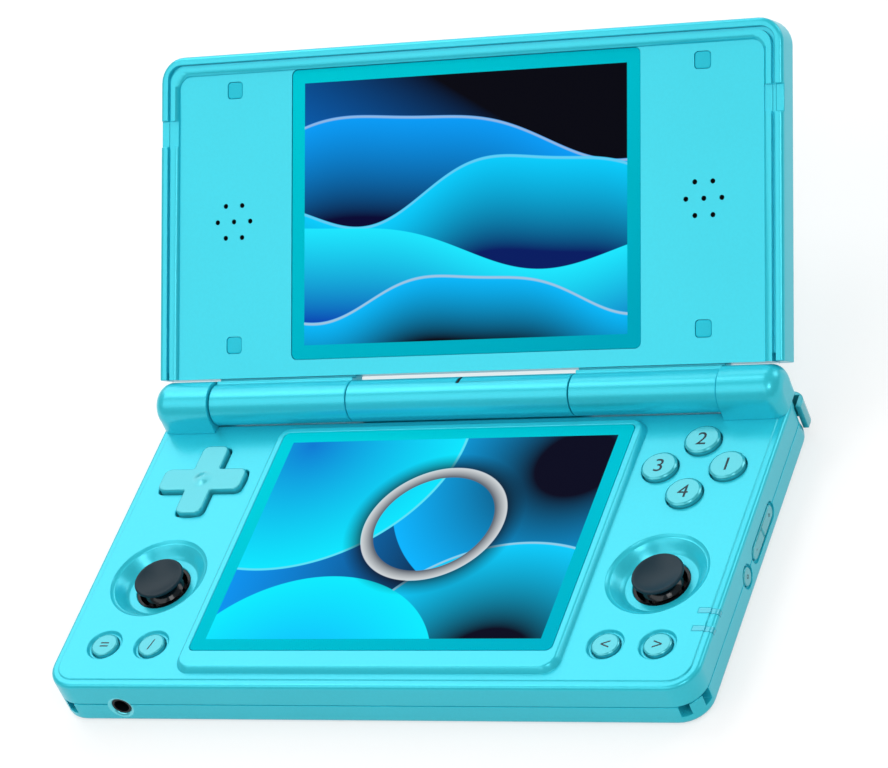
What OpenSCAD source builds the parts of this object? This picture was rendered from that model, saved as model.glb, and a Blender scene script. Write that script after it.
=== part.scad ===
// Clamshell handheld game console, in millimetres.
// Origin: centre of the base's flat underside. +X right, +Y back, +Z up.
// The lid is drawn open at its resting angle.

/* [Base] */
// Width of the base and lid
body_w = 160; // [158:0.5:168]
// Depth of the base, front wall to knuckle
body_d = 91; // [90:0.5:98]
// Height of the ledge that runs round the deck
ledge_z = 11.7; // [11.4:0.1:12.2]
// Step from the ledge up to the deck
deck_step = 0.3; // [0.2:0.1:0.6]
// Height of the joint between the two base shells
seam_z = 5.6; // [5.2:0.1:6]
// Wall of the base shells
wall = 1.5; // [1.2:0.1:1.8]
// Floor of the lower shell
floor_t = 1.4; // [1.2:0.1:1.6]
// Thickness of the deck
deck_t = 1.4; // [1.2:0.1:1.6]
// Corner radius of the base in plan
base_corner_r = 7; // [5:0.5:9]
// Width of the ledge round the deck
ledge_w = 2; // [1.5:0.1:2.5]
// Rounding along the top edge of the base
top_round = 1; // [0.5:0.1:1.4]
// Rounding along the bottom edge of the base
bottom_round = 1.2; // [0.6:0.1:1.3]

/* [Screens] */
// Strip of deck and lid beside each screen glass
side_strip = 35.2; // [34.6:0.1:37]
// From the front wall back to the lower glass
front_strip = 9.3; // [8.8:0.1:10]
// From the lower glass back to the rear wall
rear_strip = 13.1; // [12.7:0.1:14]
// Thickness of each screen glass
glass_t = 0.8; // [0.5:0.1:1]
// Corner radius of each screen glass
glass_corner_r = 1.5; // [0.5:0.1:2.5]
// Border at the sides of each display module
lcd_side = 2.3; // [1.6:0.1:4.5]
// Border at the ends of each display module
lcd_end = 2.2; // [1.6:0.1:4]
// Thickness of the lower display module
lcd_lower_t = 2.6; // [1.6:0.1:2.8]
// Thickness of the upper display module
lcd_upper_t = 2.6; // [1.6:0.1:3.2]
// Raised frame round the lower glass, above the deck
frame_h = 1.6; // [1:0.1:2]
// Flat rim of that frame beside the glass
frame_side = 1.3; // [1:0.1:2]
// Flat rim of that frame in front of the glass
frame_front = 4.4; // [3.4:0.1:4.8]
// Slope of that frame down to the deck, in plan
frame_slope = 1.2; // [0.8:0.1:1.3]

/* [Hinge] */
// Height of the hinge axis
hinge_z = 16; // [15.8:0.1:17]
// Radius of the end knuckles of the base
knuckle_r = 5.6; // [5.4:0.1:5.8]
// Radius of the lid barrels and the middle barrel
barrel_r = 4.9; // [4.5:0.1:5]
// Half length of the middle barrel
mid_barrel_half = 28.3; // [24:0.5:34]
// Length of the end knuckles
knuckle_l = 14.9; // [12:0.1:20]
// Gap between one hinge barrel and the next
barrel_gap = 0.3; // [0.2:0.05:0.5]
// Radius of the steel hinge pins
hinge_pin_r = 1.6; // [1.2:0.1:1.9]
// How far the pins reach to each side of the joint
hinge_pin_reach = 7; // [5:0.5:8]
// Radius of the hollow bushes beside the middle barrel
bush_r = 2.2; // [1.9:0.1:2.6]
// Opening of the lid at rest, from closed
lid_open = 138; // [100:1:158]

/* [Lid] */
// Thickness of the lid behind the hinge axis
lid_back = 5.6; // [5.4:0.1:6.2]
// Height of the lid's rim in front of the hinge axis
lid_rim = 1.8; // [1.4:0.1:2]
// Distance from the hinge axis to the lid's lower edge
lid_bottom = 6.1; // [6:0.05:6.4]
// How far the closed lid stops short of the front wall
lid_short = 2; // [1:0.1:3]
// Corner radius of the lid in plan
lid_corner_r = 6; // [4:0.5:8]
// Wall of the lid shell
lid_wall = 1.2; // [1:0.1:1.3]
// Width of the lid's rim
lid_rim_w = 2; // [1.6:0.1:2.4]
// Groove between the rim and the inner panel
lid_groove = 0.8; // [0.4:0.1:1]
// Inner panel, in front of the hinge axis
lid_panel = 0.7; // [0.6:0.1:1]
// Thickness of the inner panel
lid_panel_t = 1.7; // [1.4:0.1:1.9]
// Width of the upturned border of the inner panel
lid_border = 2; // [1.4:0.1:2.6]
// From the lid's upper edge to the upper glass
glass_top_border = 4.8; // [4.7:0.1:5.6]
// Glass surface below the panel
glass_sunk = 0.2; // [0:0.05:0.3]
// Speaker grille centre, in from the side
speaker_in = 19.6; // [16:0.2:22]
// Speaker grille centre, from the hinge axis
speaker_u = 43.4; // [36:0.2:52]
// Distance between speaker holes
speaker_pitch = 4.4; // [3:0.1:5]
// Radius of a speaker hole
speaker_hole_r = 0.6; // [0.4:0.05:0.8]
// Radius of a speaker
speaker_r = 8; // [6:0.2:9]
// Screw plug centres, in from the side
plug_in = 19.8; // [14:0.2:24]
// Screw plug centres, in from the ends of the upper glass
plug_end = 3.9; // [3.3:0.1:7.3]
// Side of a square screw plug
plug_side = 3.9; // [3:0.1:5]
// Light notch centre, down from the lid's upper edge
notch_down = 18.3; // [13:0.1:24]
// Length of a light notch
notch_l = 6.2; // [4:0.2:8]

/* [Controls] */
// Direction pad centre, in from the side
pad_in = 17.9; // [16.5:0.1:19]
// Direction pad centre, in front of the rear wall
pad_back = 27.3; // [26.5:0.1:28.5]
// Length of the direction pad
pad_l = 22; // [20:0.2:24]
// Width of an arm of the direction pad
pad_arm = 7; // [6:0.1:8]
// Gap round the direction pad
pad_gap = 0.4; // [0.35:0.05:0.6]
// Height of the pad and face buttons above the deck
key_h = 1.2; // [0.8:0.1:1.6]
// Face button group centre, in from the side
face_in = 17.9; // [17:0.1:19]
// Face button group centre, in front of the rear wall
face_back = 25.9; // [25:0.1:27.5]
// Distance of each face button from the group centre
face_ring = 8.15; // [7.8:0.05:8.5]
// Radius of a face button
face_r = 4.15; // [3.6:0.05:4.3]
// Gap round a face button
face_gap = 0.25; // [0.15:0.05:0.3]
// Small button centres, in from the side, inner pair
small_in1 = 23.8; // [22.5:0.1:25]
// Small button centres, in from the side, outer pair
small_in2 = 11.6; // [11:0.1:13]
// Small button centres, behind the front wall
small_front = 12.4; // [11.5:0.1:13.5]
// Radius of a small button
small_r = 3.15; // [2.6:0.05:3.3]
// Radius of the sunk ring round a small button
small_ring_r = 4.35; // [4:0.05:4.6]

/* [Sticks] */
// Stick centres, in from the side
stick_in = 17.6; // [16.5:0.1:19]
// Stick centres, behind the middle of the base
stick_y = -12.3; // [-13:0.1:-11.5]
// Radius of the stick bowl at the deck
bowl_r = 12.1; // [11.5:0.1:12.6]
// Radius of the bowl's floor
bowl_floor_r = 9.8; // [9:0.1:10.4]
// Depth of the bowl below the deck
bowl_depth = 3.2; // [3:0.1:3.3]
// Radius of the stick cap
cap_r = 6; // [5:0.1:6.5]
// Height of the stick cap's rim above the deck
cap_rise = 0.2; // [0:0.1:0.6]
// Height of the stick's pivot
pivot_z = 4.2; // [4.1:0.1:4.4]
// Radius of the stick's dome
dome_r = 6.4; // [6:0.1:6.5]
// Outside radius of the stick housing
housing_r = 8.3; // [8.1:0.1:8.8]
// Radius of the gimbal pins
gimbal_pin_r = 0.6; // [0.4:0.05:0.7]
// Radius of the stick's stem
stem_r = 1.5; // [1.2:0.1:1.8]

/* [Edges] */
// Volume rocker centre, behind the middle of the base
rocker_y = 6.3; // [5:0.1:8]
// Length of the volume rocker
rocker_l = 15.4; // [12:0.2:16.5]
// Height of the volume rocker
rocker_h = 3.2; // [2.6:0.1:3.6]
// Height of the side buttons above the underside
side_z = 5; // [4.6:0.1:5.2]
// Power button centre, behind the middle of the base
power_y = -7; // [-9:0.1:-5.5]
// Radius of the power button
power_r = 2.1; // [1.4:0.1:2.3]
// Headphone jack centre, in from the side
jack_in = 17.6; // [16:0.1:19]
// Headphone jack height
jack_z = 4.5; // [4.4:0.1:4.7]
// Radius of the headphone jack's bore
jack_r = 1.8; // [1.7:0.05:1.9]
// Depth of the headphone jack's bore
jack_depth = 12; // [10:0.5:13]
// First status light, behind the front wall
light_front1 = 22.2; // [21.5:0.1:23]
// Second status light, behind the front wall
light_front2 = 17; // [15.5:0.1:18]
// Width of a status light
light_w = 1.4; // [1:0.1:1.8]
// Width of a shoulder button seen from behind
shoulder_w = 18; // [15:0.5:19]
// Height of a shoulder button
shoulder_h = 6.8; // [6:0.1:6.9]
// How far a shoulder button stands out
shoulder_out = 0.9; // [0.6:0.1:1.2]
// Travel of a shoulder button
shoulder_travel = 0.8; // [0.5:0.05:0.9]
// Width of a strap slot
strap_w = 2.3; // [2:0.1:2.8]
// Height of a strap slot
strap_h = 3.3; // [2.6:0.1:3.7]
// Width of the charging port
port_w = 9; // [8.8:0.1:9.4]
// Height of the charging port
port_h = 3.2; // [3:0.1:3.4]

/* [Inside] */
// Height of the main board's underside
board_z = 6.2; // [6:0.1:6.4]
// Thickness of the main board
board_t = 1; // [0.8:0.1:1.2]
// Width of the battery
battery_w = 72; // [60:1:78]
// Depth of the battery
battery_d = 44; // [36:1:50]
// Thickness of the battery
battery_t = 4; // [3:0.1:4.4]
// Radius of a case screw's thread
screw_r = 0.8; // [0.6:0.05:1]
// Radius of a case screw's head
screw_head_r = 1.6; // [1.3:0.05:1.8]
// Radius of a rubber foot
foot_r = 3.5; // [2.5:0.1:4]
// How far a rubber foot stands out
foot_out = 0.4; // [0.2:0.1:0.8]

/* [Hidden] */

$fn = 48;
eps = 0.01;
corner_steps = 8;
edge_step = 22.5;
cyan = [0.25, 0.86, 0.93];
deep_cyan = [0.12, 0.7, 0.8];
screen_teal = [0.02, 0.65, 0.75];
charcoal = [0.14, 0.16, 0.18];
steel = [0.7, 0.72, 0.74];
board_green = [0.08, 0.32, 0.2];

half_w = body_w / 2;
front_y = -body_d / 2;
rear_y = body_d / 2;
hinge_y = rear_y - knuckle_r + 0.1;
knuckle_x = half_w - knuckle_l;
glass_w = body_w - 2 * side_strip;
glass_d = body_d - front_strip - rear_strip;
lower_glass_y = (front_strip - rear_strip) / 2;
lcd_w = glass_w - 2 * lcd_side;
lcd_d = glass_d - 2 * lcd_end;
deck_z = ledge_z + deck_step;
ceiling_z = deck_z - deck_t;
glass_z = deck_z + frame_h;
glass_gap = 0.1;
lid_tilt = 180 - lid_open;
board_top = board_z + board_t;

// Rear wall below the barrels, low enough for the open lid
rear_top_z = 10.2;
rear_ceiling_z = 8.8;
rear_cavity_y = hinge_y - 5.1;
rear_cut = 20;
trough_r = barrel_r + 0.4;
running = 0.05;
slip = 0.02;

// Places of the controls, from the walls they keep to
pad_x = half_w - pad_in;
pad_y = rear_y - pad_back;
face_x = half_w - face_in;
face_y = rear_y - face_back;
small_x1 = half_w - small_in1;
small_x2 = half_w - small_in2;
small_y = front_y + small_front;
stick_x = half_w - stick_in;
jack_x = jack_in - half_w;
light_y1 = front_y + light_front1;
light_y2 = front_y + light_front2;

// Controls under the deck
membrane_t = 0.6;
membrane_sheet_t = 0.2;
key_membrane_t = 1;
pad_sheet = 22;
face_sheet = 20;
small_sheet = 7;
key_flange_top = ceiling_z - 0.3;
key_flange_t = 1;
key_flange_over = 0.85;
key_bevel = 0.4;
pad_pivot_z = ceiling_z - 1.6;
pad_flange_room = 1.15;
pad_flange_top = ceiling_z - pad_flange_room;
pad_flange_t = 0.7;
pad_flange_over = 1;
pad_pivot_r = 1.4;
pad_corner_r = 1.6;
pad_dome_r = 6.2;
pad_dome_rise = 0.55;
small_rise = 0.1;
small_bore_gap = 0.25;
small_sink = 0.8;
small_sink_slope = 0.35;
small_flange_over = 1.05;

// Stick module
bowl_floor_z = deck_z - bowl_depth;
bowl_floor_t = 1;
bowl_wall = 1;
bowl_lip = 0.8;
bowl_foot = 0.9;
socket_r = 6.6;
collar_r = socket_r - 0.1;
collar_in_r = collar_r - 0.6;
collar_z = bowl_floor_z - 0.2;
housing_z = floor_t;
housing_top = bowl_floor_z - bowl_floor_t - 0.2;
housing_cavity_r = housing_r - 1.1;
housing_floor = 0.6;
housing_plate = 0.4;
gimbal_out_r = 5.2;
gimbal_in_r = 4.2;
gimbal_h = 1.8;
rocker_disc_r = 3.5;
dome_angle = 50;
dome_t = 0.6;
cap_edge = 0.8;
cap_dish = 0.5;
cap_top_z = deck_z + cap_rise;

// Side wall buttons
side_flange_t = 0.9;
side_flange_gap = 0.4;
side_gap = 0.3;
side_scoop = 0.7;
side_scoop_over = 0.7;

// Shoulder buttons
shoulder_z = 2.2;
shoulder_gap = 0.3;
shoulder_shell = 1.4;
shoulder_reach = 4.2;
shoulder_slot = 1;
shoulder_inner_x = half_w + shoulder_out - shoulder_w * 2 - shoulder_gap;
shoulder_outer_x = half_w + shoulder_out - shoulder_w;
shoulder_top_z = shoulder_z + shoulder_h;
shoulder_corner_r = base_corner_r / 2;
shoulder_post_outer = 8;
shoulder_post_inner = 9;
shoulder_switch_gap = shoulder_travel + 0.2;

// Strap slot at each front corner
strap_z = seam_z - strap_h;
strap_side_in = 5.5;
strap_x = half_w - strap_side_in;
strap_inset = 3.7;
strap_wall = 1.2;

// Jack, ports, screws
jack_body_r = 2.6;
jack_nose_r = 2.3;
jack_ring_r = 3.2;
jack_ring_deep = 0.5;
port_z = 4.4;
port_shell_t = 0.4;
port_depth = 7.5;
card_x = -22;
card_w = 12;
card_d = 14;
card_h = 1.6;
card_z = 4.6;
screw_side_in = 6;
screw_rear_in = 15.5;
screw_front_in = 4.1;
screw_front_side = 30;
case_screws_xy = [[half_w - screw_side_in, rear_y - screw_rear_in],
    [screw_side_in - half_w, rear_y - screw_rear_in],
    [half_w - screw_front_side, front_y + screw_front_in],
    [screw_front_side - half_w, front_y + screw_front_in]];
boss_r = 2.2;
post_x = half_w - 33.5;
post_rear_in = 18.5;
post_front_in = 17.5;
board_posts_xy = [[post_x, rear_y - post_rear_in], [-post_x, rear_y - post_rear_in],
    [post_x, front_y + post_front_in], [-post_x, front_y + post_front_in]];
board_post_r = 1.6;
board_side = 3;
board_front = 6;
board_rear = 13;
board_w = body_w - 2 * wall - 2 * board_side;
board_d = body_d - board_front - board_rear;
board_y = (board_front - board_rear) / 2;
screw_reach = 9;
foot_x = half_w - 14;
foot_y = rear_y - 10.5;
feet_xy = [[foot_x, foot_y], [-foot_x, foot_y], [foot_x, -foot_y], [-foot_x, -foot_y]];
foot_sunk = 0.5;
head_t = 0.9;
head_sunk = 0.3;

lcd_lower_z = glass_z - glass_t - lcd_lower_t;
battery_front = 7.5;
battery_y = front_y + battery_front + battery_d / 2;
heat_x = 8;
heat_y = 14;
heat_w = 46;
heat_d = 26;
heat_t = 0.5;
switch_w = 4;
switch_d = 2.8;
switch_h = 4.8;

// Lid, in its own frame: X across, Y away from the hinge axis, Z to the front face
lid_top = hinge_y - front_y - lid_short;
upper_glass_u = lid_top - glass_top_border - glass_d / 2;
speaker_x = half_w - speaker_in;
plug_x = half_w - plug_in;
plug_u = glass_d / 2 - plug_end;
notch_u = lid_top - notch_down;
lid_inner_half = half_w - lid_rim_w - lid_groove;
lid_front_end = lid_top - lid_rim_w - lid_groove;
lid_glass_z = lid_panel - glass_sunk;
lid_floor = -lid_back + lid_wall;
lid_panel_back = lid_panel - lid_panel_t;
lid_edge_round = 0.9;
lid_back_round = 1.5;
lid_trim = 10;
panel_corner_r = 3.5;
notch_deep = 0.9;
notch_in = 2.7;
lid_pivot_bore = hinge_pin_r + running;
lid_boss_r = 1.9;
speaker_t = 2.8;
plug_t = 0.8;
magnet_x = half_w - 10;
magnet_u = lid_top - 13.5;
magnet_w = 8;
magnet_d = 4;
magnet_t = 2;
cover_neck = 4.6;
cover_wall = 1.2;
cover_end = 5;
cable_pin_gap = 4.6;
cable_near = 5;
cable_far = knuckle_x - hinge_pin_reach + 0.1 - cable_pin_gap;
mic_turn = 17;
mic_slot_l = 3;
mic_slot_w = 0.9;

function sides(a) = [a, -a];

// ---- Shapes used by more than one piece ----

// Rounded rectangle from true arcs
module round_rect(w, d, r) {
    square([w - 2 * r, d], center = true);
    square([w, d - 2 * r], center = true);
    for (x = sides(w / 2 - r), y = sides(d / 2 - r)) {
        translate([x, y]) circle(r = r);
    }
}

// Long slot with round ends, along X
module stadium(l, h) {
    square([l - h, h], center = true);
    for (x = sides((l - h) / 2)) {
        translate([x, 0]) circle(d = h);
    }
}

// Points of one level of a rounded block, drawn in from its outline by inset
function level_points(w, d, rc, inset, z) = [
    for (q = [0:3], i = [0:corner_steps])
        let (a = 90 * (q + i / corner_steps), r = rc - inset)
        [(q == 0 || q == 3 ? 1 : -1) * (w / 2 - rc) + r * cos(a),
            (q < 2 ? 1 : -1) * (d / 2 - rc) + r * sin(a), z]];

// Block with rounded corners in plan and rounded top and bottom edges
module soft_block(w, d, z0, z1, rc, r_top, r_bottom) {
    levels = concat(
        [for (a = [0:edge_step:90]) [r_bottom * (1 - sin(a)), z0 + r_bottom * (1 - cos(a))]],
        [for (a = [90:-edge_step:0]) [r_top * (1 - sin(a)), z1 - r_top * (1 - cos(a))]]);
    n = 4 * (corner_steps + 1);
    last = len(levels) - 1;
    polyhedron(
        points = [for (v = levels) each level_points(w, d, rc, v[0], v[1])],
        faces = concat([[for (i = [0:n - 1]) i], [for (i = [n - 1:-1:0]) last * n + i]],
            [for (k = [0:last - 1], i = [0:n - 1])
                let (j = (i + 1) % n) [k * n + i, (k + 1) * n + i, (k + 1) * n + j, k * n + j]]));
}

// Cylinder along X, centred on its place
module rod_x(r, l) {
    rotate([0, 90, 0]) cylinder(r = r, h = l, center = true);
}

// Puts the lid's own frame at the hinge axis, open at the resting angle
module at_lid() {
    translate([0, hinge_y, hinge_z]) rotate([lid_tilt, 0, 0]) children();
}

// Side buttons are drawn flat and turned onto the right wall
module on_right_wall(y, z) {
    translate([half_w, y, z]) rotate([90, 0, 90]) children();
}

// ---- Base shells ----

module base_outside() {
    soft_block(body_w, body_d, 0, ledge_z, base_corner_r, top_round, bottom_round);
}

module deck_pad() {
    translate([0, 0, ledge_z - top_round]) linear_extrude(deck_step + top_round) {
        round_rect(body_w - 2 * ledge_w, body_d - 2 * ledge_w, base_corner_r - ledge_w);
    }
}

// Raised frame that holds the lower glass
module frame_layer(grow, z0, z1) {
    front = glass_d / 2 + frame_front + grow;
    rear = glass_d / 2 + frame_side + grow;
    translate([0, lower_glass_y + (rear - front) / 2, z0]) linear_extrude(z1 - z0) {
        round_rect(glass_w + 2 * frame_side + 2 * grow, front + rear, 3 + grow);
    }
}

// The frame's sides step down to the deck in three flats
module glass_frame() {
    frame_layer(0, ledge_z, glass_z);
    frame_layer(frame_slope * 0.4, ledge_z, glass_z - frame_h * 0.2);
    frame_layer(frame_slope, ledge_z, deck_z + frame_h * 0.35);
}

module bowl_cut() {
    lip = bowl_lip;
    rotate_extrude() polygon(concat(
        [[0, deck_z + 1], [bowl_r + 0.3, deck_z + 1]],
        [for (a = [0:15:90]) [bowl_r - lip + lip * cos(a) + 0.3 * (1 - sin(a)) - 0.3 * cos(a),
            deck_z - lip * sin(a) * 0.8]],
        [for (a = [10:16:90]) [bowl_floor_r + bowl_foot * (1 - sin(a)),
            bowl_floor_z + bowl_foot * (1 - sin(a)) * (1 - a / 90)]],
        [[bowl_floor_r - 0.4, bowl_floor_z], [0, bowl_floor_z]]));
}

module bowl_solid() {
    z = bowl_floor_z - bowl_floor_t;
    rotate_extrude() polygon([[0, z], [bowl_floor_r + bowl_wall, z], [bowl_r + bowl_wall, ceiling_z],
        [bowl_r + bowl_wall, ceiling_z + eps], [0, ceiling_z + eps]]);
}

// Cross outline of the direction pad, grown on every side
module pad_outline(grow) {
    intersection() {
        union() {
            round_rect(pad_l + 2 * grow, pad_arm + 2 * grow, pad_corner_r + grow);
            round_rect(pad_arm + 2 * grow, pad_l + 2 * grow, pad_corner_r + grow);
        }
        circle(r = pad_l / 2 + grow, $fn = 96);
    }
}

module strap_tunnel() {
    z = strap_z + strap_h / 2;
    for (s = [1, -1]) {
        translate([s * (strap_x + strap_w / 2), front_y + (strap_inset + strap_w) / 2 - 1, z]) {
            cube([strap_w, strap_inset + strap_w + 2, strap_h], center = true);
        }
        translate([s * (strap_x + half_w + 1) / 2, front_y + strap_inset + strap_w / 2, z]) {
            cube([half_w + 1 - strap_x, strap_w, strap_h], center = true);
        }
    }
}

// Everything that enters through the outer walls
module wall_openings() {
    on_right_wall(rocker_y, side_z) {
        translate([0, 0, -wall - 1]) linear_extrude(wall + 2) {
            stadium(rocker_l + 2 * side_gap, rocker_h + 2 * side_gap);
        }
        translate([0, 0, -side_scoop]) linear_extrude(2) {
            stadium(rocker_l + 2 * side_scoop_over + 0.4, rocker_h + 2 * side_scoop_over);
        }
    }
    on_right_wall(power_y, side_z) {
        translate([0, 0, -wall - 1]) cylinder(r = power_r + side_gap, h = wall + 2);
        translate([0, 0, -side_scoop]) cylinder(r = power_r + side_scoop_over, h = 2);
    }
    translate([jack_x, front_y, jack_z]) rotate([90, 0, 0]) {
        translate([0, 0, -jack_depth - 2]) cylinder(r = jack_body_r + slip, h = jack_depth + 2 - wall + 0.1);
        translate([0, 0, -wall - 1]) cylinder(r = jack_nose_r + slip, h = wall + 2);
        translate([0, 0, -jack_ring_deep]) {
            cylinder(r1 = jack_nose_r + slip, r2 = jack_ring_r, h = jack_ring_deep + eps);
        }
    }
    translate([0, rear_y, port_z]) rotate([90, 0, 0]) {
        translate([0, 0, -1]) linear_extrude(wall + 2) stadium(port_w + 2 * slip, port_h + 2 * slip);
    }
    translate([card_x, rear_y, card_z]) cube([card_w, 2 * wall + 2, card_h], center = true);
    for (s = [1, -1]) {
        shoulder_pocket(s, shoulder_outer_x, half_w + 5);
        shoulder_pocket(s, shoulder_inner_x, shoulder_inner_x + shoulder_w);
    }
}

module shoulder_pocket(s, x0, x1) {
    w = x1 - x0 + 2 * shoulder_gap;
    y0 = rear_y - shoulder_reach - shoulder_slot;
    translate([s * (x0 + x1) / 2, y0 + 4, shoulder_z + shoulder_h / 2]) {
        cube([w, 8, shoulder_h + 2 * shoulder_gap], center = true);
    }
}

module inner_cavity(z0, z1) {
    translate([0, 0, z0]) linear_extrude(z1 - z0) {
        round_rect(body_w - 2 * wall, body_d - 2 * wall, base_corner_r - wall);
    }
}

// Solid corner block behind each strap slot, so that the tunnel stays closed to the inside
module strap_blocks(z0, z1) {
    w = half_w - strap_x + strap_wall;
    d = strap_inset + strap_w + strap_wall;
    for (s = [1, -1]) {
        translate([s * (half_w - w / 2), front_y + d / 2, (z0 + z1) / 2]) {
            cube([w, d, z1 - z0], center = true);
        }
    }
}

module lower_shell() {
    color(deep_cyan) difference() {
        union() {
            difference() {
                base_outside();
                translate([0, 0, seam_z + 50]) cube([300, 300, 100], center = true);
                inner_cavity(floor_t, seam_z + 1);
            }
            intersection() {
                base_outside();
                strap_blocks(0, seam_z);
            }
            for (p = case_screws_xy) {
                translate([p[0], p[1], floor_t - eps]) cylinder(r = boss_r, h = seam_z - floor_t + eps);
            }
            for (p = board_posts_xy) {
                translate([p[0], p[1], floor_t - eps]) {
                    cylinder(r = board_post_r, h = board_z - floor_t + eps);
                }
            }
        }
        strap_tunnel();
        wall_openings();
        for (p = case_screws_xy) {
            translate([p[0], p[1], -eps]) cylinder(r = screw_r + 0.1, h = seam_z + 1);
            translate([p[0], p[1], -eps]) cylinder(r = screw_head_r + 0.15, h = head_sunk + head_t + 2 * eps);
        }
        for (p = feet_xy) {
            translate([p[0], p[1], -eps]) cylinder(r = foot_r + 0.05, h = foot_sunk + eps);
        }
        seam_groove();
    }
}

// Fine line round the joint between the shells
module seam_groove() {
    translate([0, 0, seam_z - 0.22]) linear_extrude(0.23) difference() {
        square([body_w + 4, body_d + 4], center = true);
        round_rect(body_w - 0.6, body_d - 0.6, base_corner_r - 0.3);
    }
}

module end_knuckles() {
    l = half_w - knuckle_x;
    end_r = 3.6;
    for (s = [1, -1]) {
        translate([s * knuckle_x, hinge_y, hinge_z]) rotate([0, s * 90, 0]) {
            rotate_extrude() polygon(concat([[0, 0], [knuckle_r, 0]],
                [for (a = [0:10:90]) [knuckle_r - end_r + end_r * cos(a), l - end_r + end_r * sin(a)]],
                [[0, l]]));
        }
        translate([s * (knuckle_x + l / 2), hinge_y, ledge_z - 2]) linear_extrude(hinge_z - ledge_z + 2) {
            knuckle_foot(s, l - 0.1, end_r);
        }
    }
}

// Foot under an end knuckle, with its outer corners rounded
module knuckle_foot(s, l, r) {
    d = 2 * knuckle_r - 0.1;
    translate([-s * r / 2, 0]) square([l - r, d], center = true);
    square([l, d - 2 * r], center = true);
    for (y = sides(d / 2 - r)) {
        translate([s * (l / 2 - r), y]) circle(r = r);
    }
}

module upper_shell() {
    color(cyan) difference() {
        union() {
            difference() {
                union() {
                    base_outside();
                    deck_pad();
                    glass_frame();
                }
                translate([0, 0, seam_z - 50]) cube([300, 300, 100], center = true);
                intersection() {
                    inner_cavity(0, ceiling_z);
                    translate([0, rear_cavity_y - 50, 0]) cube([300, 100, 60], center = true);
                }
                inner_cavity(0, rear_ceiling_z);
                // Trough and low rear wall between the end knuckles
                translate([0, hinge_y, hinge_z]) rod_x(trough_r, 2 * knuckle_x);
                translate([0, hinge_y + rear_cut / 2, rear_top_z + rear_cut / 2]) {
                    cube([2 * knuckle_x, rear_cut, rear_cut], center = true);
                }
            }
            for (s = [1, -1]) {
                translate([s * stick_x, stick_y, 0]) bowl_solid();
            }
            for (p = case_screws_xy) {
                translate([p[0], p[1], seam_z]) cylinder(r = boss_r, h = ceiling_z - seam_z + eps);
            }
        }
        // Glass seat and display window
        translate([0, lower_glass_y, glass_z - glass_t]) linear_extrude(5) {
            round_rect(glass_w + 2 * glass_gap, glass_d + 2 * glass_gap, glass_corner_r);
        }
        translate([0, lower_glass_y, glass_z - 5]) {
            cube([lcd_w + 2 * glass_gap, lcd_d + 2 * glass_gap, 20], center = true);
        }
        for (s = [1, -1]) {
            translate([s * stick_x, stick_y, 0]) {
                bowl_cut();
                translate([0, 0, bowl_floor_z - 3]) cylinder(r = socket_r, h = 4);
            }
        }
        translate([-pad_x, pad_y, ceiling_z - 1]) linear_extrude(5) pad_outline(pad_gap);
        for (p = face_places()) {
            translate([p[0], p[1], ceiling_z - 1]) cylinder(r = face_r + face_gap, h = 5);
        }
        for (x = small_places()) {
            translate([x, small_y, ceiling_z - 1]) cylinder(r = small_r + small_bore_gap, h = 5);
            translate([x, small_y, deck_z - small_sink]) {
                cylinder(r1 = small_ring_r - small_sink_slope, r2 = small_ring_r, h = small_sink + eps);
            }
        }
        for (p = case_screws_xy) {
            translate([p[0], p[1], seam_z - eps]) cylinder(r = screw_r, h = 4.4);
        }
        wall_openings();
        for (y = [light_y1, light_y2]) {
            light_box(y, slip);
        }
    }
}

// ---- Hinge ----

// End knuckles, seated on the deck and the ledge
module hinge_ends() {
    color(cyan) difference() {
        end_knuckles();
        translate([0, 0, ledge_z - 50]) cube([300, 300, 100], center = true);
        deck_pad();
        for (s = [1, -1]) {
            translate([s * knuckle_x, hinge_y, hinge_z]) rod_x(hinge_pin_r + slip, 2 * hinge_pin_reach);
        }
    }
}

module hinge_cover() {
    color(cyan) difference() {
        union() {
            translate([0, hinge_y, hinge_z]) rod_x(barrel_r, 2 * mid_barrel_half);
            // Neck that stands on the low rear wall, behind the trough
            translate([0, hinge_y + 0.1 + cover_neck / 2, (rear_top_z + hinge_z) / 2]) {
                cube([2 * mid_barrel_half, cover_neck, hinge_z - rear_top_z], center = true);
            }
        }
        translate([0, hinge_y, hinge_z]) {
            rod_x(bush_r + slip, 2 * mid_barrel_half + 2);
            rod_x(barrel_r - cover_wall, 2 * (mid_barrel_half - cover_end));
        }
        translate([0, hinge_y, hinge_z]) rotate([-mic_turn, 0, 0]) {
            translate([0, 0, barrel_r - cover_wall - 0.2]) {
                linear_extrude(2) rotate(90) stadium(mic_slot_l, mic_slot_w);
            }
        }
    }
}

module hinge_pins() {
    color(steel) for (s = [1, -1]) {
        translate([s * knuckle_x, hinge_y, hinge_z]) rod_x(hinge_pin_r, 2 * hinge_pin_reach - 0.2);
    }
}

module hinge_bushes() {
    color(steel) for (s = [1, -1]) {
        translate([s * (mid_barrel_half + 0.5), hinge_y, hinge_z]) difference() {
            rod_x(bush_r, 9);
            rod_x(bush_r - 0.8, 10);
        }
    }
}

// Flat cable rolled into a round run where it passes through the bush on the left
module hinge_flex_cable() {
    color(charcoal) translate([-(cable_far + cable_near) / 2, hinge_y, hinge_z]) {
        rod_x(bush_r - 0.9, cable_far - cable_near);
    }
}

// ---- Lower screen and insides ----

module lower_glass() {
    color(screen_teal) translate([0, lower_glass_y, glass_z - glass_t]) linear_extrude(glass_t) {
        round_rect(glass_w, glass_d, glass_corner_r);
    }
}

module lower_display() {
    color([0.1, 0.35, 0.8]) translate([0, lower_glass_y, lcd_lower_z + lcd_lower_t / 2]) {
        cube([lcd_w, lcd_d, lcd_lower_t], center = true);
    }
}

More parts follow.
